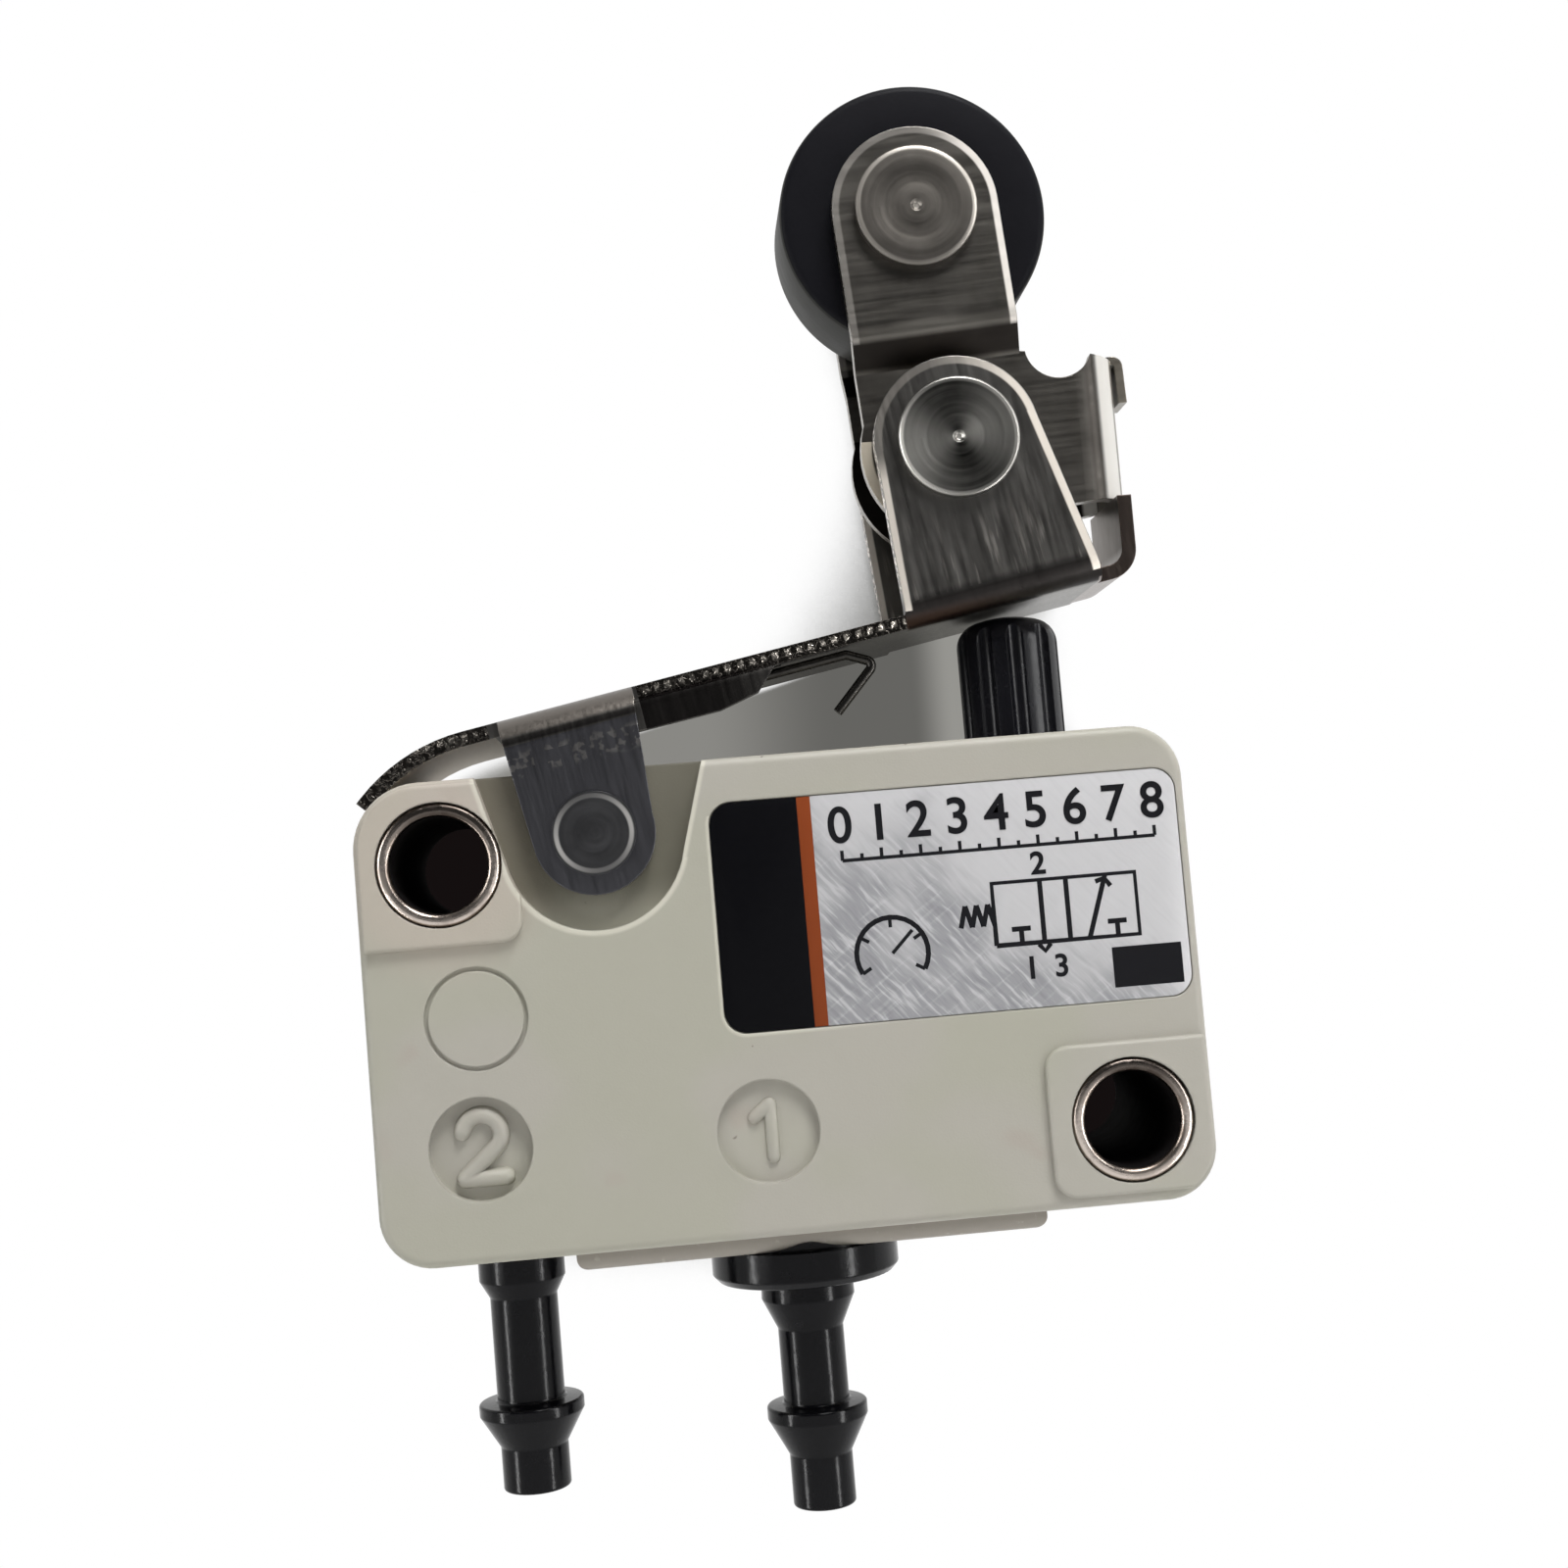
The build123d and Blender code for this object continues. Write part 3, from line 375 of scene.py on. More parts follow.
def leverPlateEdge(s, look):                    # sheared: dark, with bright dots that grow to the right
    atSides = s.side.between(*look["plateSides"])
    outside = 1 - (s.earSpan + s.bracketSpan).maths("MINIMUM", 1.0)
    thickness = s.across.between(4.0, 4.58) + (s.along < -3.3)
    plateEdge = atSides * outside * s.flat * thickness.maths("MINIMUM", 1.0)
    s.tint = s.mix(plateEdge, s.tint, look["edgeDark"])
    wobble = s.noise(1.6, 1.0) * 5.0
    row = 1 - abs(s.across - 4.30).step(0.05, 0.15)
    dots = ((s.along * 15.0 + wobble).maths("SINE")).step(-0.2, 0.5) * row * (s.across > 4.0)
    dots = dots * (0.30 + s.along.step(4.0, 11.0) * 0.65)
    tipDots = (s.along < -3.3) * s.chips * 0.10
    s.tint = s.mix(plateEdge * (dots + tipDots), s.tint, look["edge"])
    # Painted shade on the skirt below the plate's edge, fading towards its end
    skirt = s.along.between(2.6, 7.8) * atSides * (s.across < 4.1)
    s.tint = s.mix(skirt * (0.88 - s.along.step(5.0, 8.5) * 0.5), s.tint, look["paintedShade"])
    return plateEdge


def leverCuts(s, look):                         # cut faces of the ears, the bracket and the end tab
    earCut = (s.side > 4.15) * (s.across < 3.6) * 0.35
    bracketCut = s.side.between(3.0, 3.7) * (s.across > 5.3)
    cuts = s.upright * (earCut + bracketCut)
    s.tint = s.mix(cuts, s.tint, s.mix(s.chips, look["edgeDark"], look["edge"]))
    tab = (s.x > 23.2) * (s.z > 7.3)
    s.tint = s.mix(tab * s.flat, s.tint, look["tabEdge"])
    s.tint = s.mix(tab * (s.ny < 0.5) * 0.7, s.tint, look["tabFace"])
    return cuts


def armSteel():
    look = {"face": (0.16, 0.150, 0.135), "edge": (0.90, 0.85, 0.79), "cutFaceAndSheen": (0.35, 0.33, 0.29),
            "paintedShade": (0.012, 0.010, 0.009), "paleHighlight": (0.60, 0.54, 0.44), "bendGlint": (0.66, 0.64, 0.60),
            "roughness": 0.36, "grain": (0.25, 3.0), "rolling": 0.22,
            "rimRadius": 2.82, "rimTop": 8.52, "lowRimRadius": 3.02, "webX": 23.2}
    s = sheetSteel("armSteel", look, armLean, armPin)
    # Painted highlights on the rims of the two upper cheeks, bright on the right and faint on the left
    above = (s.across - look["rimTop"]).maths("MAXIMUM", 0.0)
    reach = (s.along * s.along + above * above) ** 0.5
    rim = (1 - abs(reach - look["rimRadius"]).step(0.08, 0.16)) * (s.across > 4.0) * s.flat * (s.z > 17.0)
    rim = rim * (0.24 + s.along.step(0.4, 2.6) * 0.76)
    s.tint = s.mix(rim, s.tint, look["edge"])
    # Jog: a painted highlight line above a band of painted shade
    pale = (1 - abs(s.across - 4.35).step(0.05, 0.30)) * (s.side > 1.4) * (s.x < 22.0)
    s.tint = s.mix(pale * 0.35, s.tint, look["cutFaceAndSheen"])
    dark = s.across.step(3.0, 3.25) * (1 - s.across.step(3.95, 4.15)) * (s.x < 22.0)
    s.tint = s.mix(dark * 0.92, s.tint, look["paintedShade"])
    # Lower cheeks: a painted highlight on the rim left of the pin in front, and painted shade on the inner
    # face behind
    low = (1 - abs(s.fromPoint(armPin) - look["lowRimRadius"]).step(0.15, 0.25)) * (s.x < 16.8)
    low = low * s.z.between(10.5, 13.7) * (s.north < -0.8) * (s.y < midY)
    s.tint = s.mix(low, s.tint, look["paleHighlight"])
    inner = (s.north < 0.3) * (s.y > midY) * (s.x < 17.5) * s.z.between(8.0, 14.5)
    s.tint = s.mix(inner * 0.9, s.tint, look["paintedShade"])
    # Web: painted reflections down its bend, a bright stripe between a dark band and a grey border
    bend = (s.x > look["webX"]) * (s.z < 16.6)
    bendGlint = 1 - abs(s.ny - 0.67).step(0.16, 0.23)
    s.tint = s.mix(bend * (s.ny > 0.62) * (1 - s.ny.step(0.96, 1.0)) * 0.75, s.tint, look["paintedShade"])
    s.tint = s.mix(bend * bendGlint * 0.95, s.tint, look["bendGlint"])
    border = bend * (1 - s.ny.step(0.38, 0.47))
    s.tint = s.mix(border * 0.7, s.tint, look["cutFaceAndSheen"])
    s.put("Metallic", 1 - (rim * 0.7 + low * 0.6 + bend * bendGlint * 0.9 + border * 0.5).maths("MINIMUM", 1.0))
    # Painted highlight on the lip's flat faces
    lip = (s.x > 24.8) * (s.z > 14.5) * s.flat
    s.tint = s.mix(lip * 0.35, s.tint, look["paleHighlight"])
    cuts = s.upright * (s.x < look["webX"]) * (s.side > 1.45)
    s.tint = s.mix(cuts * (0.5 + s.chips * 0.5), s.tint, look["cutFaceAndSheen"])
    return steelFinish(s, look, cuts)


def turnedSteel(name, look):
    s = Surface(name, look["face"], look["roughness"], metallic=1.0)
    reach = s.fromPoint(look["centre"])
    rings = s.noise(1.0, 3.0, vector=s.node("CombineXYZ", inputs=[reach * 7.0, s.cloudTurn(look), 0.0]))
    cloud = s.noise(0.8, 3.0)
    # Painted sheen: the bow-tie sectors lighten the face
    shade = 0.62 + rings * look["rings"] + (cloud - 0.5) * 0.6 + look["bow"] * (s.bowTie(look) - 0.4)
    face = s.node("VectorMath", {"operation": "SCALE"}, {"Vector": look["face"], "Scale": shade})
    # Painted highlights: a bright ring at the rim, strongest in the bow-tie sectors, and a bright dot at the
    # centre
    rim = (1 - abs(reach - look["rimAt"]).step(0.04, 0.11)) * (0.25 + s.bowTie(look) * 0.75)
    dot = 1 - reach.step(0.05, 0.16)
    face = s.mix(rim * look["rimLight"], face, look["bright"])
    s.put("Base Color", s.mix(dot * look["dotLight"], face, look["bright"]))
    s.put("Roughness", look["roughness"] + rings * 0.12)
    s.put("Normal", s.bump(rings, 0.004, 0.7, s.eased(0.025)))
    return s.material


def rivetPlate(name, centre):
    look = {"plate": (0.66, 0.58, 0.52), "dull": (0.16, 0.125, 0.10), "dark": (0.030, 0.022, 0.018),
            "bore": (0.006, 0.005, 0.005), "roughness": 0.24}
    s = Surface(name, look["plate"], look["roughness"], metallic=1.0, gloss=0.05)
    reach = s.fromPoint(centre)
    # Painted shade: the plate is darker towards its top
    high = ((s.z - centre[1]) * 0.9 + (s.x - centre[0]) * 0.15).step(0.0, 1.6)
    tarnish = s.noise(1.6, 4.0).step(0.45, 0.65) * 0.30
    bands = (1 - reach.step(1.68, 1.80)) * 0.6 + reach.step(1.93, 2.02) * 0.75
    colour = s.mix((tarnish + bands).maths("MINIMUM", 1.0), look["plate"], look["dull"])
    colour = s.mix(high * 0.85, colour, look["dark"])
    # Painted shade inside the bore
    inside = (reach < boreRadius + 0.06) * (s.side < 4.96)
    s.put("Base Color", s.mix(inside, colour, look["bore"]))
    s.put("Roughness", look["roughness"] + tarnish * 0.3 + inside * 0.6)
    s.put("Metallic", 1 - inside)
    s.put("Normal", s.bump(s.noise(9.0), 0.004))
    return s.material


def blackPlastic(name, colour, roughness, gloss=0.4):
    s = Surface(name, colour, roughness, gloss=gloss)
    s.put("Roughness", roughness + (s.noise(1.3, 4.0) - 0.5) * 0.12)
    scuff = s.noise(2.6, 5.0).step(0.62, 0.78)
    s.put("Base Color", s.mix(scuff * 0.4, colour, tuple(c * 2.0 + 0.006 for c in colour)))
    s.put("Normal", s.bump(s.noise(7.0), 0.006, 0.8, s.eased(0.05)))
    return s.material


def rollerPlastic():
    look = {"face": (0.0065, 0.0065, 0.0085), "tread": (0.040, 0.040, 0.036), "roughness": 0.46}
    s = Surface("rollerPlastic", look["face"], look["roughness"], gloss=0.06)
    tread = (s.ny < 0.6) * (s.fromPoint(rollerPin) > 4.3)
    scuff = s.noise(0.9, 5.0, stretch=(1, 3, 1))
    s.put("Base Color", s.mix(tread * (0.55 + scuff * 0.6), look["face"], look["tread"]))
    s.put("Roughness", look["roughness"] + (scuff - 0.5) * 0.2)
    s.put("Normal", s.bump(s.noise(10.0), 0.005, 0.7, s.eased(0.08)))
    return s.material


def plainMetal(name, colour, roughness):
    s = Surface(name, colour, roughness, metallic=1.0)
    drawn = s.noise(3.0, 4.0)
    s.put("Base Color", s.mix(drawn.step(0.4, 0.7), colour, tuple(c * 0.7 for c in colour)))
    s.put("Roughness", roughness + (drawn - 0.5) * 0.2)
    s.put("Normal", s.bump(drawn, 0.004))
    return s.material


def rubberBlack():
    look = {"colour": (0.022, 0.022, 0.022), "roughness": 0.68}
    s = Surface("rubberBlack", look["colour"], look["roughness"])
    s.put("Roughness", look["roughness"] + s.noise(4.0) * 0.1)
    s.put("Normal", s.bump(s.noise(12.0), 0.008))
    return s.material


def dress(names, material):
    for name in names:
        mesh = nodes[name].data
        mesh.materials.clear()
        mesh.materials.append(material)


# Modelling helpers

def pickNone():
    bpy.ops.object.select_all(action="DESELECT")


def pickOnly(piece):
    pickNone()
    piece.select_set(True)
    bpy.context.view_layer.objects.active = piece


def settle(piece):
    pickOnly(piece)
    bpy.ops.object.transform_apply(location=True, rotation=True, scale=True)


def applyModifier(piece, kind, **settings):
    pickOnly(piece)
    made = piece.modifiers.new(kind.lower(), kind)
    for name, value in settings.items():
        setattr(made, name, value)
    bpy.ops.object.modifier_apply(modifier=made.name)


def finishPiece(piece, name, body, material, smooth=35, replaces=None):
    settle(piece)
    piece.name = piece.data.name = name
    piece.data.materials.clear()
    piece.data.materials.append(material)
    bpy.ops.object.shade_smooth_by_angle(angle=radians(smooth))
    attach(piece, body)
    if replaces:
        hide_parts(replaces)
    return piece


def inEditMode(piece, keep):                    # edit mode with the faces that keep names selected
    pickOnly(piece)
    bpy.ops.object.mode_set(mode="EDIT")
    bpy.ops.mesh.select_mode(type="FACE")
    bpy.ops.mesh.select_all(action="DESELECT")
    mesh = bmesh.from_edit_mesh(piece.data)
    for face in mesh.faces:
        face.select = keep(face)
    mesh.select_flush_mode()
    bmesh.update_edit_mesh(piece.data)


def leaveEditMode():
    bpy.ops.object.mode_set(mode="OBJECT")


def textPiece(text, centre, size, y, rise, weight):
    pickNone()
    place = Vector((centre[0], y, centre[1])) * mm
    bpy.ops.object.text_add(location=place, rotation=(pi / 2, 0, 0))
    piece = bpy.context.object
    piece.data.body = text
    piece.data.size = size * mm
    piece.data.align_x = piece.data.align_y = "CENTER"
    piece.data.offset = weight * mm
    piece.data.extrude = rise * mm
    bpy.ops.object.convert(target="MESH")
    settle(piece)
    return piece


def wirePiece(lines, width, roundEnds=True):
    # Round bar along lists of X, Y and Z points, in millimetres
    pickNone()
    curve = bpy.data.curves.new("wire", "CURVE")
    curve.dimensions = "3D"
    curve.bevel_depth = width / 2 * mm
    curve.bevel_resolution = 2
    curve.use_fill_caps = True
    for line in lines:
        path = [(Vector(point), 1.0) for point in line]
        if roundEnds:
            for end, inner in ((0, 1), (-1, -2)):
                out = (path[end][0] - path[inner][0]).normalized() * width / 2
                extra = [(path[end][0] + out * 0.55, 0.83), (path[end][0] + out * 0.9, 0.43)]
                path = extra[::-1] + path if end == 0 else path + extra
        spline = curve.splines.new("POLY")
        spline.points.add(len(path) - 1)
        for point, (place, share) in zip(spline.points, path):
            point.co = (*(place * mm), 1)
            point.radius = share
    piece = bpy.data.objects.new("wire", curve)
    bpy.context.scene.collection.objects.link(piece)
    pickOnly(piece)
    bpy.ops.object.convert(target="MESH")
    return piece


def strokes(lines, width, y, rise, roundEnds=False):
    # Printed or moulded lines: round bars along X and Z points, pressed flat
    piece = wirePiece([[(x, 0, z) for x, z in line] for line in lines], width, roundEnds)
    piece.scale = (1, rise / (width / 2), 1)
    piece.location = (0, y * mm, 0)
    settle(piece)
    return piece


def joined(pieces):
    pickNone()
    for piece in pieces:
        piece.select_set(True)
    bpy.context.view_layer.objects.active = pieces[0]
    bpy.ops.object.join()
    return bpy.context.object


# Studio

def makeStage():
    look = {"floorZ": -45.0, "backY": 0.35, "size": 1.2}
    middle = look["size"] / 2 + look["floorZ"] * mm
    floor = stagePlane("floor", (0, 0, look["floorZ"] * mm), (0, 0, 0), look["size"])
    floor.data.materials.append(floorPaper())
    back = stagePlane("backdrop", (0, look["backY"] * mm, middle), (pi / 2, 0, 0), look["size"])
    back.data.materials.append(backPaper())


def floorPaper():
    look = {"paper": (0.86, 0.86, 0.85), "glow": 0.85, "glowShare": 0.7}
    s = Surface("floorPaper", look["paper"], 0.9)
    glow = s.node("Emission", inputs={"Color": (1, 1, 1, 1), "Strength": look["glow"]})
    s.show(seenRays(s) * look["glowShare"], Value(s, s.shader.outputs[0]), glow)
    return s.material


def backPaper():
    look = {"shade": (1.0, 0.985, 0.92), "paper": (1.0, 1.0, 1.0), "hole": (0.007, 0.005, 0.005),
            "shadowReach": 12.0, "holeReach": 2.6, "gapLine": (8.5, 4.9, 0.27), "gapSpan": (-3.0, 19.5)}
    s = Surface("backPaper", look["paper"], 1.0)
    front = 1 - s.node("NewGeometry", out="Backfacing")
    # Painted shadow: closed places are grey, lighter at both ends of the gap under the lever, and the holes
    # are black
    lineX, lineZ, slope = look["gapLine"]
    overLine = s.z - lineZ - (s.x - lineX) * slope
    gap = (1 - overLine.step(0.0, 0.4)) * (s.z > 2.0) * s.x.between(*look["gapSpan"])
    reach = {"Distance": look["shadowReach"] * mm}
    opened = s.node("AmbientOcclusion", {"samples": 64}, reach, out="AO")
    opened = opened.step(0.28 + gap * 0.22, 0.48 + gap * 0.16)
    level = 0.25 - s.x.step(9.0, 14.5) * 0.12 + s.x.step(17.4, 19.0) * 0.17
    shade = s.node("VectorMath", {"operation": "SCALE"}, {"Vector": look["shade"], "Scale": level})
    upper, lower = [s.fromPoint(holes[name]) < look["holeReach"] for name in ("upper", "lower")]
    paper = s.mix(upper + lower, s.mix(opened, shade, look["paper"]), look["hole"])
    light = s.node("Emission", inputs={"Color": paper, "Strength": 1.0})
    s.show(seenRays(s) * front, s.node("BsdfTransparent"), light)
    return s.material


def seenRays(s):
    camera, through, gloss = s.rays("Camera", "Transmission", "Glossy")
    return (camera + through + gloss).maths("MINIMUM", 1.0)


def stagePlane(name, place, turn, size):
    pickNone()
    bpy.ops.mesh.primitive_plane_add(size=size, location=place, rotation=turn)
    plane = bpy.context.object
    settle(plane)
    plane.name = name
    return plane


def makeLights():
    lamps = {
        "key": {"place": (55, -85, 165), "size": (80, 80), "power": 0.37},
        "left": {"place": (-150, -105, 0), "size": (60, 190), "power": 0.075},
        "right": {"place": (150, -125, 0), "size": (60, 190), "power": 0.055},
        "rim": {"place": (150, 60, 60), "size": (100, 100), "power": 0.10},
        "rear": {"place": (-60, 170, 110), "size": (140, 140), "power": 0.16},
        "leftGlint": {"place": (-45, -27, -27), "size": (5, 34), "power": 0.010, "glossOnly": True},
        "rightGlint": {"place": (59, -40, -27), "size": (5, 34), "power": 0.010, "glossOnly": True},
    }
    aim = Vector((11, midY, -2)) * mm
    for name, setup in lamps.items():
        lamp = bpy.data.lights.new(name, "AREA")
        lamp.shape = "RECTANGLE"
        lamp.size, lamp.size_y = [side * mm for side in setup["size"]]
        lamp.energy = setup["power"]
        stand = bpy.data.objects.new(name, lamp)
        stand.location = Vector(setup["place"]) * mm
        stand.rotation_euler = (aim - stand.location).to_track_quat("-Z", "Y").to_euler()
        bpy.context.scene.collection.objects.link(stand)
        stand.visible_camera = stand.visible_diffuse = not setup.get("glossOnly", False)


def makeWorld():
    look = {"soft": 0.30, "white": 1.0, "dark": 0.07, "darkFrom": -0.45, "darkTo": 0.45,
            "lampSides": (-68, 54), "lampLevel": 9.0}
    world = bpy.data.worlds.new("studio")
    world.use_nodes = True
    bpy.context.scene.world = world
    air = Maker(world.node_tree)
    seen, gloss, through = air.rays("Camera", "Glossy", "Transmission")
    direction = air.node("TexCoord")
    across, away, rise = [air.part(direction, i) for i in range(3)]
    # In reflections the room behind the camera is dark
    room = (0 - away).step(look["darkFrom"], look["darkTo"])
    mirrored = look["white"] - room * (look["white"] - look["dark"])
    # and two tall lamps stand at its sides
    azimuth = across.maths("ARCTAN2", 0 - away)
    low = 1 - abs(rise).step(0.40, 0.60)
    for side in look["lampSides"]:
        lamp = 1 - abs(azimuth - radians(side)).step(radians(3), radians(6))
        mirrored = mirrored + lamp * low * look["lampLevel"]
    shown = (seen + through).maths("MINIMUM", 1.0)
    level = shown * look["white"] + (1 - shown) * (gloss * mirrored + (1 - gloss) * look["soft"])
    background = world.node_tree.nodes["Background"]
    background.inputs["Color"].default_value = (1, 1, 1, 1)
    air.feed(background.inputs["Strength"], level)


# Port numbers in the recesses

def portNumbers():
    look = {"two": {"centre": (0.70, -9.34), "radius": 0.64, "width": 0.60, "rise": 0.36, "floor": -9.60},
            "one": {"centre": (10.16, -9.62), "width": 0.46, "rise": 0.17, "floor": -9.77}}
    n = look["two"]
    cx, cz, r = *n["centre"], n["radius"]
    bowl = [(cx + r * cos(radians(a)), cz + 0.42 + r * sin(radians(a))) for a in range(168, -45, -12)]
    two = [bowl + [(cx - 0.62, cz - 0.98)], [(cx - 0.62, cz - 1.0), (cx + 0.72, cz - 1.0)]]
    piece = strokes(two, n["width"], n["floor"], n["rise"], roundEnds=True)
    finishPiece(piece, "portNumber2", "housing", plastic, smooth=60)
    n = look["one"]
    cx, cz = n["centre"]
    one = [[(cx - 0.48, cz + 0.46), (cx + 0.02, cz + 0.86)], [(cx + 0.06, cz + 0.86), (cx + 0.06, cz - 0.86)]]
    piece = strokes(one, n["width"], n["floor"], n["rise"], roundEnds=True)
    finishPiece(piece, "portNumber1", "housing", plastic, smooth=60)
    print("port numbers done")


# Label: a black block, an orange stripe and a silver field with a plain scale and the valve's symbol

labelPlan = {"blackEnd": 11.92, "stripeEnd": 12.38, "printY": -10.03, "printRise": 0.012,
             "thin": 0.12, "bold": 0.17, "block": [(22.05, -5.25), (24.4, -5.25)], "blockHeight": 1.35,
             "black": (0.0035, 0.0035, 0.0045), "orange": (0.215, 0.048, 0.015), "ink": (0.012, 0.012, 0.014)}


def labelStrip(name, low, high, material):
    source = nodes["label"]
    piece = source.copy()
    piece.data = source.data.copy()
    bpy.context.scene.collection.objects.link(piece)
    piece.parent = None
    inEditMode(piece, lambda f: True)
    bpy.ops.mesh.remove_doubles(threshold=0.001 * mm)
    for x, inner in ((low, True), (high, False)):
        if x is None:
            continue
        bpy.ops.mesh.select_all(action="SELECT")
        bpy.ops.mesh.bisect(plane_co=(x * mm, 0, 0), plane_no=(1, 0, 0), use_fill=True,
                            clear_inner=inner, clear_outer=not inner)
    leaveEditMode()
    applyModifier(piece, "BEVEL", width=0.02 * mm, segments=2, limit_method="ANGLE")
    return finishPiece(piece, name, "housing", material)


def printLines(lines, width):
    return strokes(lines, width, labelPlan["printY"], labelPlan["printRise"])


def printText(text, centre, size, weight=0.025):
    return textPiece(text, centre, size, labelPlan["printY"], labelPlan["printRise"], weight)


def labelScale():                               # a plain scale along the top
    plan = {"first": 13.3, "gap": 1.32, "count": 9, "base": -0.95, "tick": 0.34, "halfTick": 0.2,
            "textZ": 0.18, "textSize": 1.7}
    first, gap, base, last = plan["first"], plan["gap"], plan["base"], plan["count"] - 1
    ticks, numbers = [], []
    for i in range(plan["count"]):
        x = first + gap * i
        numbers.append(printText(str(i), (x, plan["textZ"]), plan["textSize"]))
        ticks.append([(x, base), (x, base + plan["tick"])])
        if i < last:
            ticks.append([(x + gap / 2, base), (x + gap / 2, base + plan["halfTick"])])
    ticks.append([(first, base), (first + gap * last, base)])
    return ticks, numbers


def labelDial():                                # a small dial on the left
    plan = {"centre": (14.7, -4.15), "radius": 1.2, "angles": (-30, 211), "spokeFrom": 0.72, "needle": 0.72}
    (x, z), radius, angles = plan["centre"], plan["radius"], plan["angles"]

    def spot(angle, share):
        return x + share * radius * cos(radians(angle)), z + share * radius * sin(radians(angle))

    arc = [spot(angle, 1.0) for angle in range(*angles, 12)]
    spokes = [[spot(angle, plan["spokeFrom"]), spot(angle, 1.0)] for angle in range(*angles, 60)]
    needle = [(x, z), (x + plan["needle"], z + plan["needle"])]
    return [arc], spokes + [needle]


def labelSymbol():                              # the valve's symbol with the numbers of its ports
    plan = {"left": 18.2, "middle": 20.7, "right": 23.05, "low": -4.2, "high": -2.12,
            "flow": 1.62, "slope": 0.65, "stops": (0.87, 1.62), "stopHigh": 0.5, "stopWide": 0.32,
            "springStep": 0.19, "springHigh": 0.36, "springPoints": 7, "textSize": 1.05}
    left, middle, right = plan["left"], plan["middle"], plan["right"]
    low, high, stopZ = plan["low"], plan["high"], plan["low"] + plan["stopHigh"]
    boxes = [[(left, low), (right, low), (right, high), (left, high), (left, low)],
             [(middle, low), (middle, high)]]
    flowX, slopeX = left + plan["flow"], middle + plan["slope"]
    flow = [[(flowX, low), (flowX, high)],
            [(slopeX, low), (slopeX + 0.7, high)],
            [(flowX - 0.2, low - 0.06), (flowX, low - 0.3), (flowX + 0.2, low - 0.06)],
            [(slopeX + 0.35, high - 0.22), (slopeX + 0.66, high - 0.12), (slopeX + 0.85, high - 0.4)]]
    for x in (left + plan["stops"][0], middle + plan["stops"][1]):
        flow += [[(x, low), (x, stopZ)], [(x - plan["stopWide"], stopZ), (x + plan["stopWide"], stopZ)]]
    turns = []
    for i in range(plan["springPoints"]):
        swing = plan["springHigh"] if i % 2 else -plan["springHigh"]
        turns.append((left - plan["springStep"] * i, (low + high) / 2 + swing))
    spring = [list(pair) for pair in zip(turns, turns[1:])]
    ports = [printText("2", (flowX, high + 0.52), plan["textSize"]),
             printText("1", (flowX - 0.5, low - 0.86), plan["textSize"], 0.02),
             printText("3", (flowX + 0.5, low - 0.86), plan["textSize"], 0.02)]
    return boxes + flow + spring, ports


def labelPrint():
    ticks, numbers = labelScale()
    arc, spokes = labelDial()
    symbol, ports = labelSymbol()
    thin = printLines(ticks + spokes, labelPlan["thin"])
    bold = printLines(arc + symbol, labelPlan["bold"])
    block = printLines([labelPlan["block"]], labelPlan["blockHeight"])
    piece = joined([thin, bold, block, *numbers, *ports])
    finishPiece(piece, "labelPrint", "housing", labelInk("printInk", labelPlan["ink"]))


def label():
    blackEnd, stripeEnd = labelPlan["blackEnd"], labelPlan["stripeEnd"]
    black = labelInk("labelBlack", labelPlan["black"])
    orange = labelInk("labelOrange", labelPlan["orange"])
    strips = [labelStrip("labelBlock", None, blackEnd, black),
              labelStrip("labelStripe", blackEnd, stripeEnd, orange),
              labelStrip("labelField", stripeEnd, None, labelFilm())]
    for strip in strips:
        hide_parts("label")
    labelPrint()
    print("label done")


# Pins, turned from bar: a shank with a worked head at each end

def turnedPin(name, p, material):
    pickNone()
    x, z = p["centre"]
    place = (x * mm, midY * mm, z * mm)
    bpy.ops.mesh.primitive_cylinder_add(vertices=96, radius=p["shank"] * mm, depth=2 * p["out"] * mm,
                                        location=place, rotation=(pi / 2, 0, 0))
    pin = bpy.context.object
    settle(pin)
    # Insets of the head, as width and rise: its rim, two faint steps in the flat, and the dimple
    flat = p["head"] - sum(width for width, rise in p["rim"]) - 0.22
    steps = p["rim"] + [(flat * 0.4, 0.0), (0.03, -0.006), (flat * 0.3, 0.0), (0.03, 0.006)]
    steps += [(flat * 0.3 - 0.06, 0.0)]
    if p["dimple"]:
        steps += [(0.06, -0.03), (0.06, -0.06)]
    grow = p["head"] / p["shank"]
    for facing in (-1, 1):
        inEditMode(pin, lambda f: (f.calc_center_median().y / mm - midY) * facing > p["out"] - 0.01)
        cap = Vector((x, midY + facing * p["out"], z)) * mm
        bpy.ops.mesh.extrude_region_move()
        bpy.ops.transform.resize(value=(grow, 1, grow), center_override=cap)
        bpy.ops.mesh.extrude_region_move(TRANSFORM_OT_translate={"value": (0, facing * p["thick"] * mm, 0)})
        for width, rise in steps:
            bpy.ops.mesh.inset(thickness=width * mm, depth=rise * mm)
        leaveEditMode()
    finishPiece(pin, name, p["body"], material, smooth=20, replaces=p["replaces"])


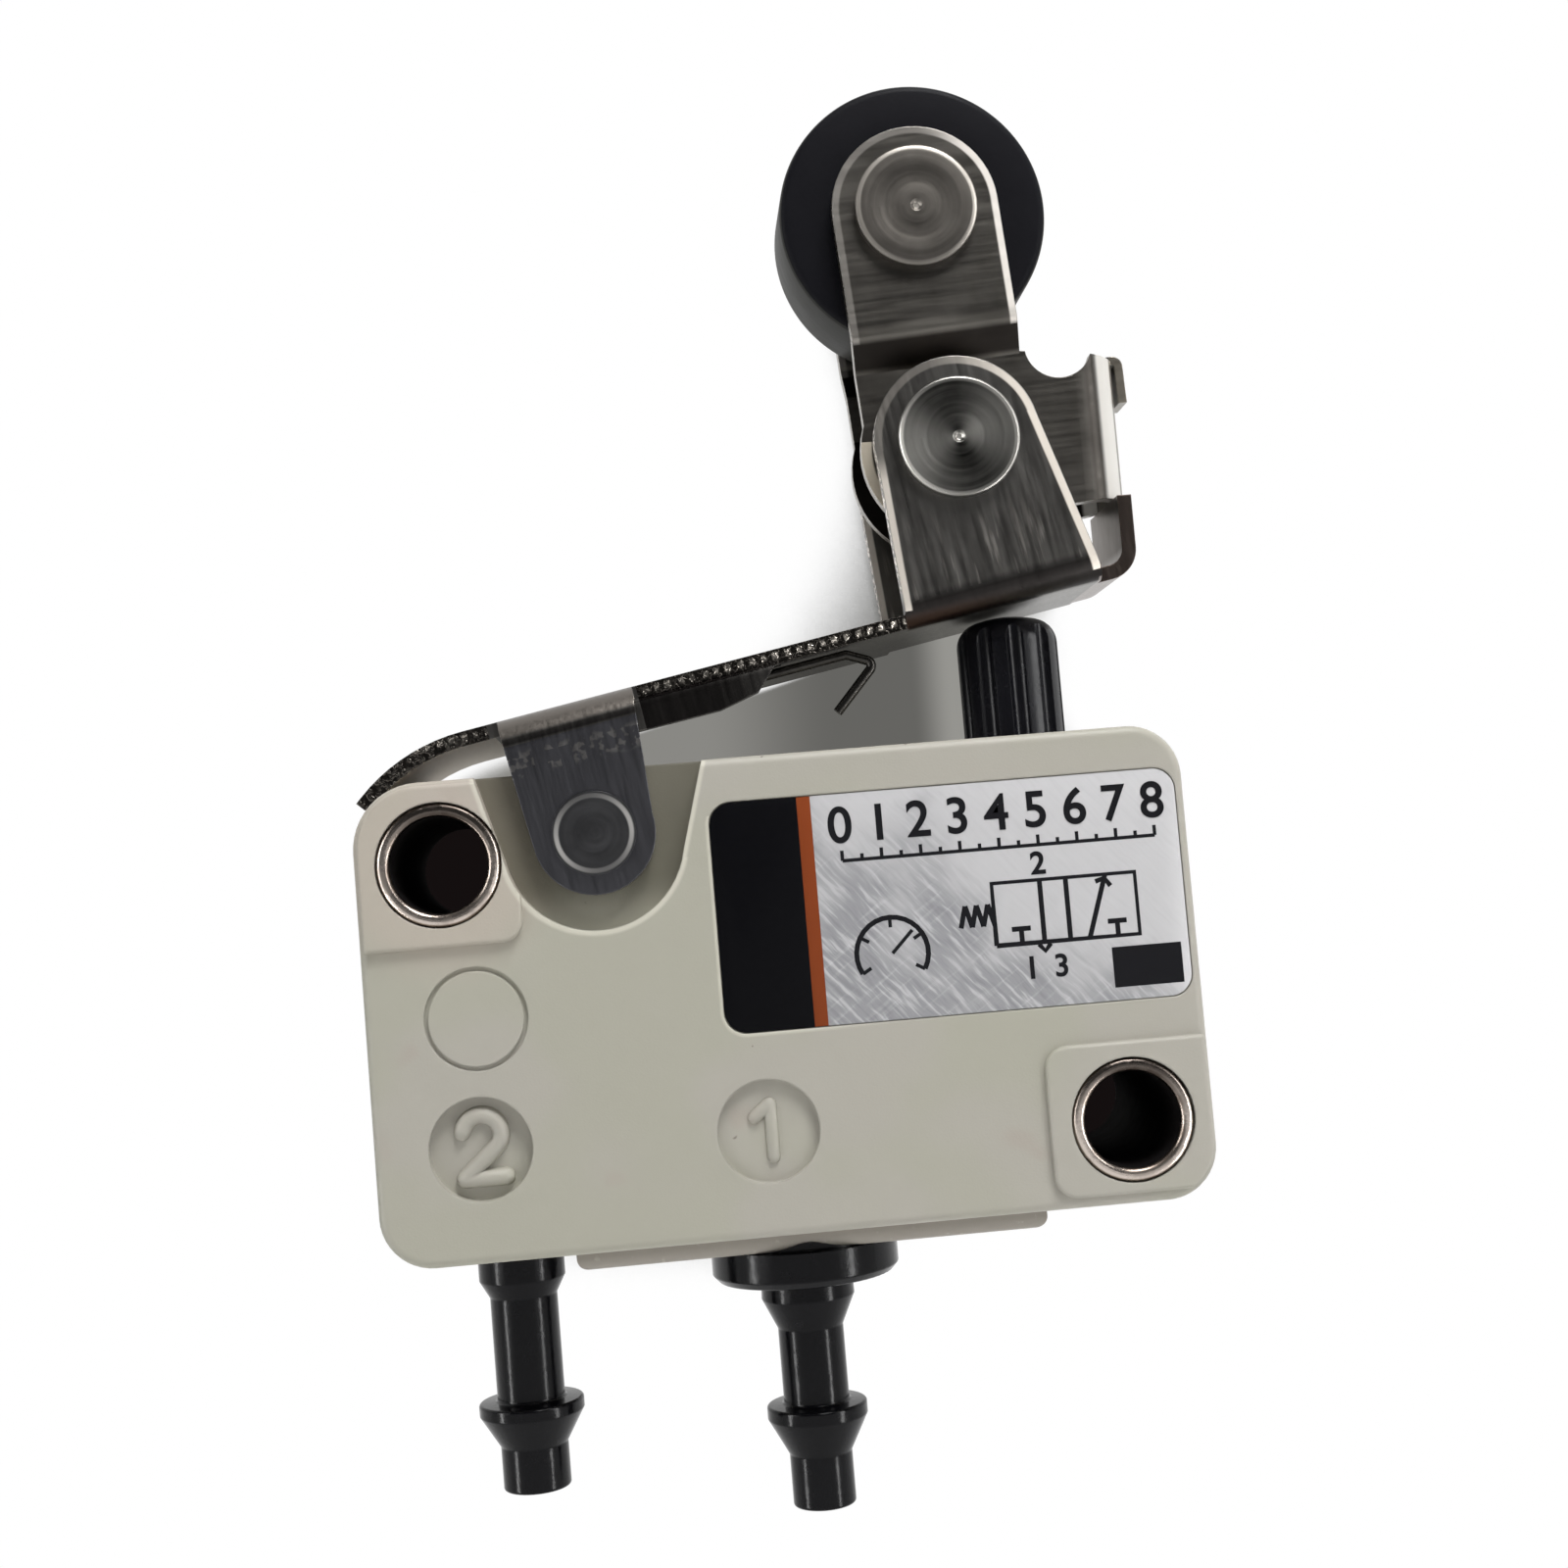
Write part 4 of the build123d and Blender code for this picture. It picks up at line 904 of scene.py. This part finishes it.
def pins():
    plans = {
        "rollerPinTurned": {
            "centre": rollerPin, "shank": 1.0, "head": 2.15, "out": 2.6, "thick": 0.34, "body": "arm",
            "rim": [(0.03, 0.0), (0.05, 0.02), (0.10, 0.02)], "dimple": True, "replaces": "roller_pin",
            "face": (0.165, 0.152, 0.137), "bright": (0.80, 0.75, 0.68), "roughness": 0.34,
            "rings": 0.4, "bow": 0.15, "bowAngle": 5, "rimAt": 2.05, "rimLight": 0.6, "dotLight": 0.6},
        "armPinTurned": {
            "centre": armPin, "shank": 1.0, "head": 2.1, "out": 3.6, "thick": 0.36, "body": "lever",
            "rim": [(0.03, 0.0), (0.05, 0.03), (0.09, -0.02)], "dimple": True, "replaces": "arm_pin",
            "face": (0.205, 0.200, 0.186), "bright": (0.95, 0.92, 0.86), "roughness": 0.28,
            "rings": 0.5, "bow": 1.5, "bowAngle": 12, "rimAt": 2.0, "rimLight": 0.75, "dotLight": 0.95},
        "leverPinTurned": {
            "centre": hinge, "shank": 0.75, "head": 1.4, "out": 4.7, "thick": 0.16, "body": "lever",
            "rim": [(0.03, 0.0), (0.05, 0.006)], "dimple": False, "replaces": "lever_pin",
            "face": (0.085, 0.085, 0.089), "bright": (0.85, 0.83, 0.80), "roughness": 0.38,
            "rings": 0.3, "bow": 0.0, "bowAngle": 15, "rimAt": 1.25, "rimLight": 0.7, "dotLight": 0.0},
    }
    for name, plan in plans.items():
        turnedPin(name, plan, turnedSteel(name + "Steel", plan))
    print("pins done")


# Roller tyre: a turned black ring with eased rims

def rollerTyre(material):
    size = {"radius": 4.75, "wide": 3.8, "bore": 1.56, "ease": 0.28}
    pickNone()
    x, z = rollerPin
    place = (x * mm, midY * mm, z * mm)
    bpy.ops.mesh.primitive_cylinder_add(vertices=160, radius=size["radius"] * mm, depth=size["wide"] * mm,
                                        location=place, rotation=(pi / 2, 0, 0))
    tyre = bpy.context.object
    settle(tyre)
    inEditMode(tyre, lambda f: abs(f.normal.y) > 0.9)
    bpy.ops.mesh.inset(thickness=(size["radius"] - size["bore"]) * mm, use_individual=True)
    bpy.ops.mesh.bridge_edge_loops()
    leaveEditMode()
    applyModifier(tyre, "BEVEL", width=size["ease"] * mm, segments=4, limit_method="ANGLE",
                  angle_limit=radians(60))
    finishPiece(tyre, "rollerTyre", "roller", material, replaces="roller")
    print("roller done")


# Spring round the arm's pin: the coil and its leg on the arm, its foot on the lever's plate

def armSpring(material):
    size = {"wire": 0.34, "radius": 1.45, "near": -6.1, "long": 0.85, "turns": 2.25, "start": 62,
            "hold": (23.6, 14.6), "footBehind": 0.36, "footZ": 8.18, "footLong": 1.2}
    x, z = armPin
    r, near, far = size["radius"], size["near"], size["near"] + size["long"]
    steps = int(size["turns"] * 24)
    coil = []
    for i in range(steps + 1):
        turn = radians(size["start"]) - 2 * pi * size["turns"] * i / steps
        coil.append((x + r * cos(turn), near + size["long"] * i / steps, z + r * sin(turn)))
    leg = [(size["hold"][0], near, size["hold"][1]), (x + 1.9, near, z + 1.40)]
    piece = wirePiece([leg + coil], size["wire"])
    finishPiece(piece, "armSpringCoil", "arm", material, smooth=60, replaces="arm_spring")
    footX, footY, footZ = x - r, far + size["footBehind"], size["footZ"]
    foot = [(footX, footY, z + 0.4), (footX, footY, footZ), (footX + size["footLong"], footY, footZ)]
    piece = wirePiece([foot], size["wire"])
    finishPiece(piece, "armSpringFoot", "lever", material, smooth=60)
    print("arm spring done")


makeCamera(cameraSetup)
makeStage()
makeLights()
makeWorld()
print("studio done")

plastic = housingPlastic()
dress(["housing_front", "housing_rear"], plastic)
dress(["valve_body"], blackPlastic("innerMoulding", (0.30, 0.275, 0.24), 0.5))
dress(["upper_rivet"], rivetPlate("upperRivetPlate", holes["upper"]))
dress(["lower_rivet"], rivetPlate("lowerRivetPlate", holes["lower"]))
dress(["lever"], leverSteel())
dress(["roller_arm"], armSteel())
tyrePlastic = rollerPlastic()
dress(["roller"], tyrePlastic)
dress(["plunger"], blackPlastic("plungerPlastic", (0.006, 0.006, 0.0085), 0.26, 0.25))
dress(["plunger_guide"], blackPlastic("guidePlastic", (0.008, 0.008, 0.010), 0.4))
dress(["port1_fitting", "port2_fitting"],
      blackPlastic("fittingPlastic", (0.0035, 0.0035, 0.0045), 0.17, 0.15))
dress(["lever_spring", "arm_spring", "rocker_spring", "poppet_spring"],
      plainMetal("springWire", (0.055, 0.052, 0.048), 0.3))
dress(["valve_sleeve", "valve_stem", "poppet", "roller_bush", "arm_spacers"],
      plainMetal("brassTurned", (0.55, 0.42, 0.20), 0.3))
dress(["rocker", "rocker_pin", "lever_pin", "arm_pin", "roller_pin"],
      plainMetal("brightSteel", (0.35, 0.34, 0.33), 0.3))
dress(["sleeve_rings", "stem_seal", "poppet_seal", "port1_ring", "port2_ring"], rubberBlack())
print("materials done")

portNumbers()
label()
pins()
rollerTyre(tyrePlastic)
# The arm spring's wire is a lighter copy of the spring wire: a painted sheen
armSpring(plainMetal("armWireLit", (0.62, 0.57, 0.50), 0.34))
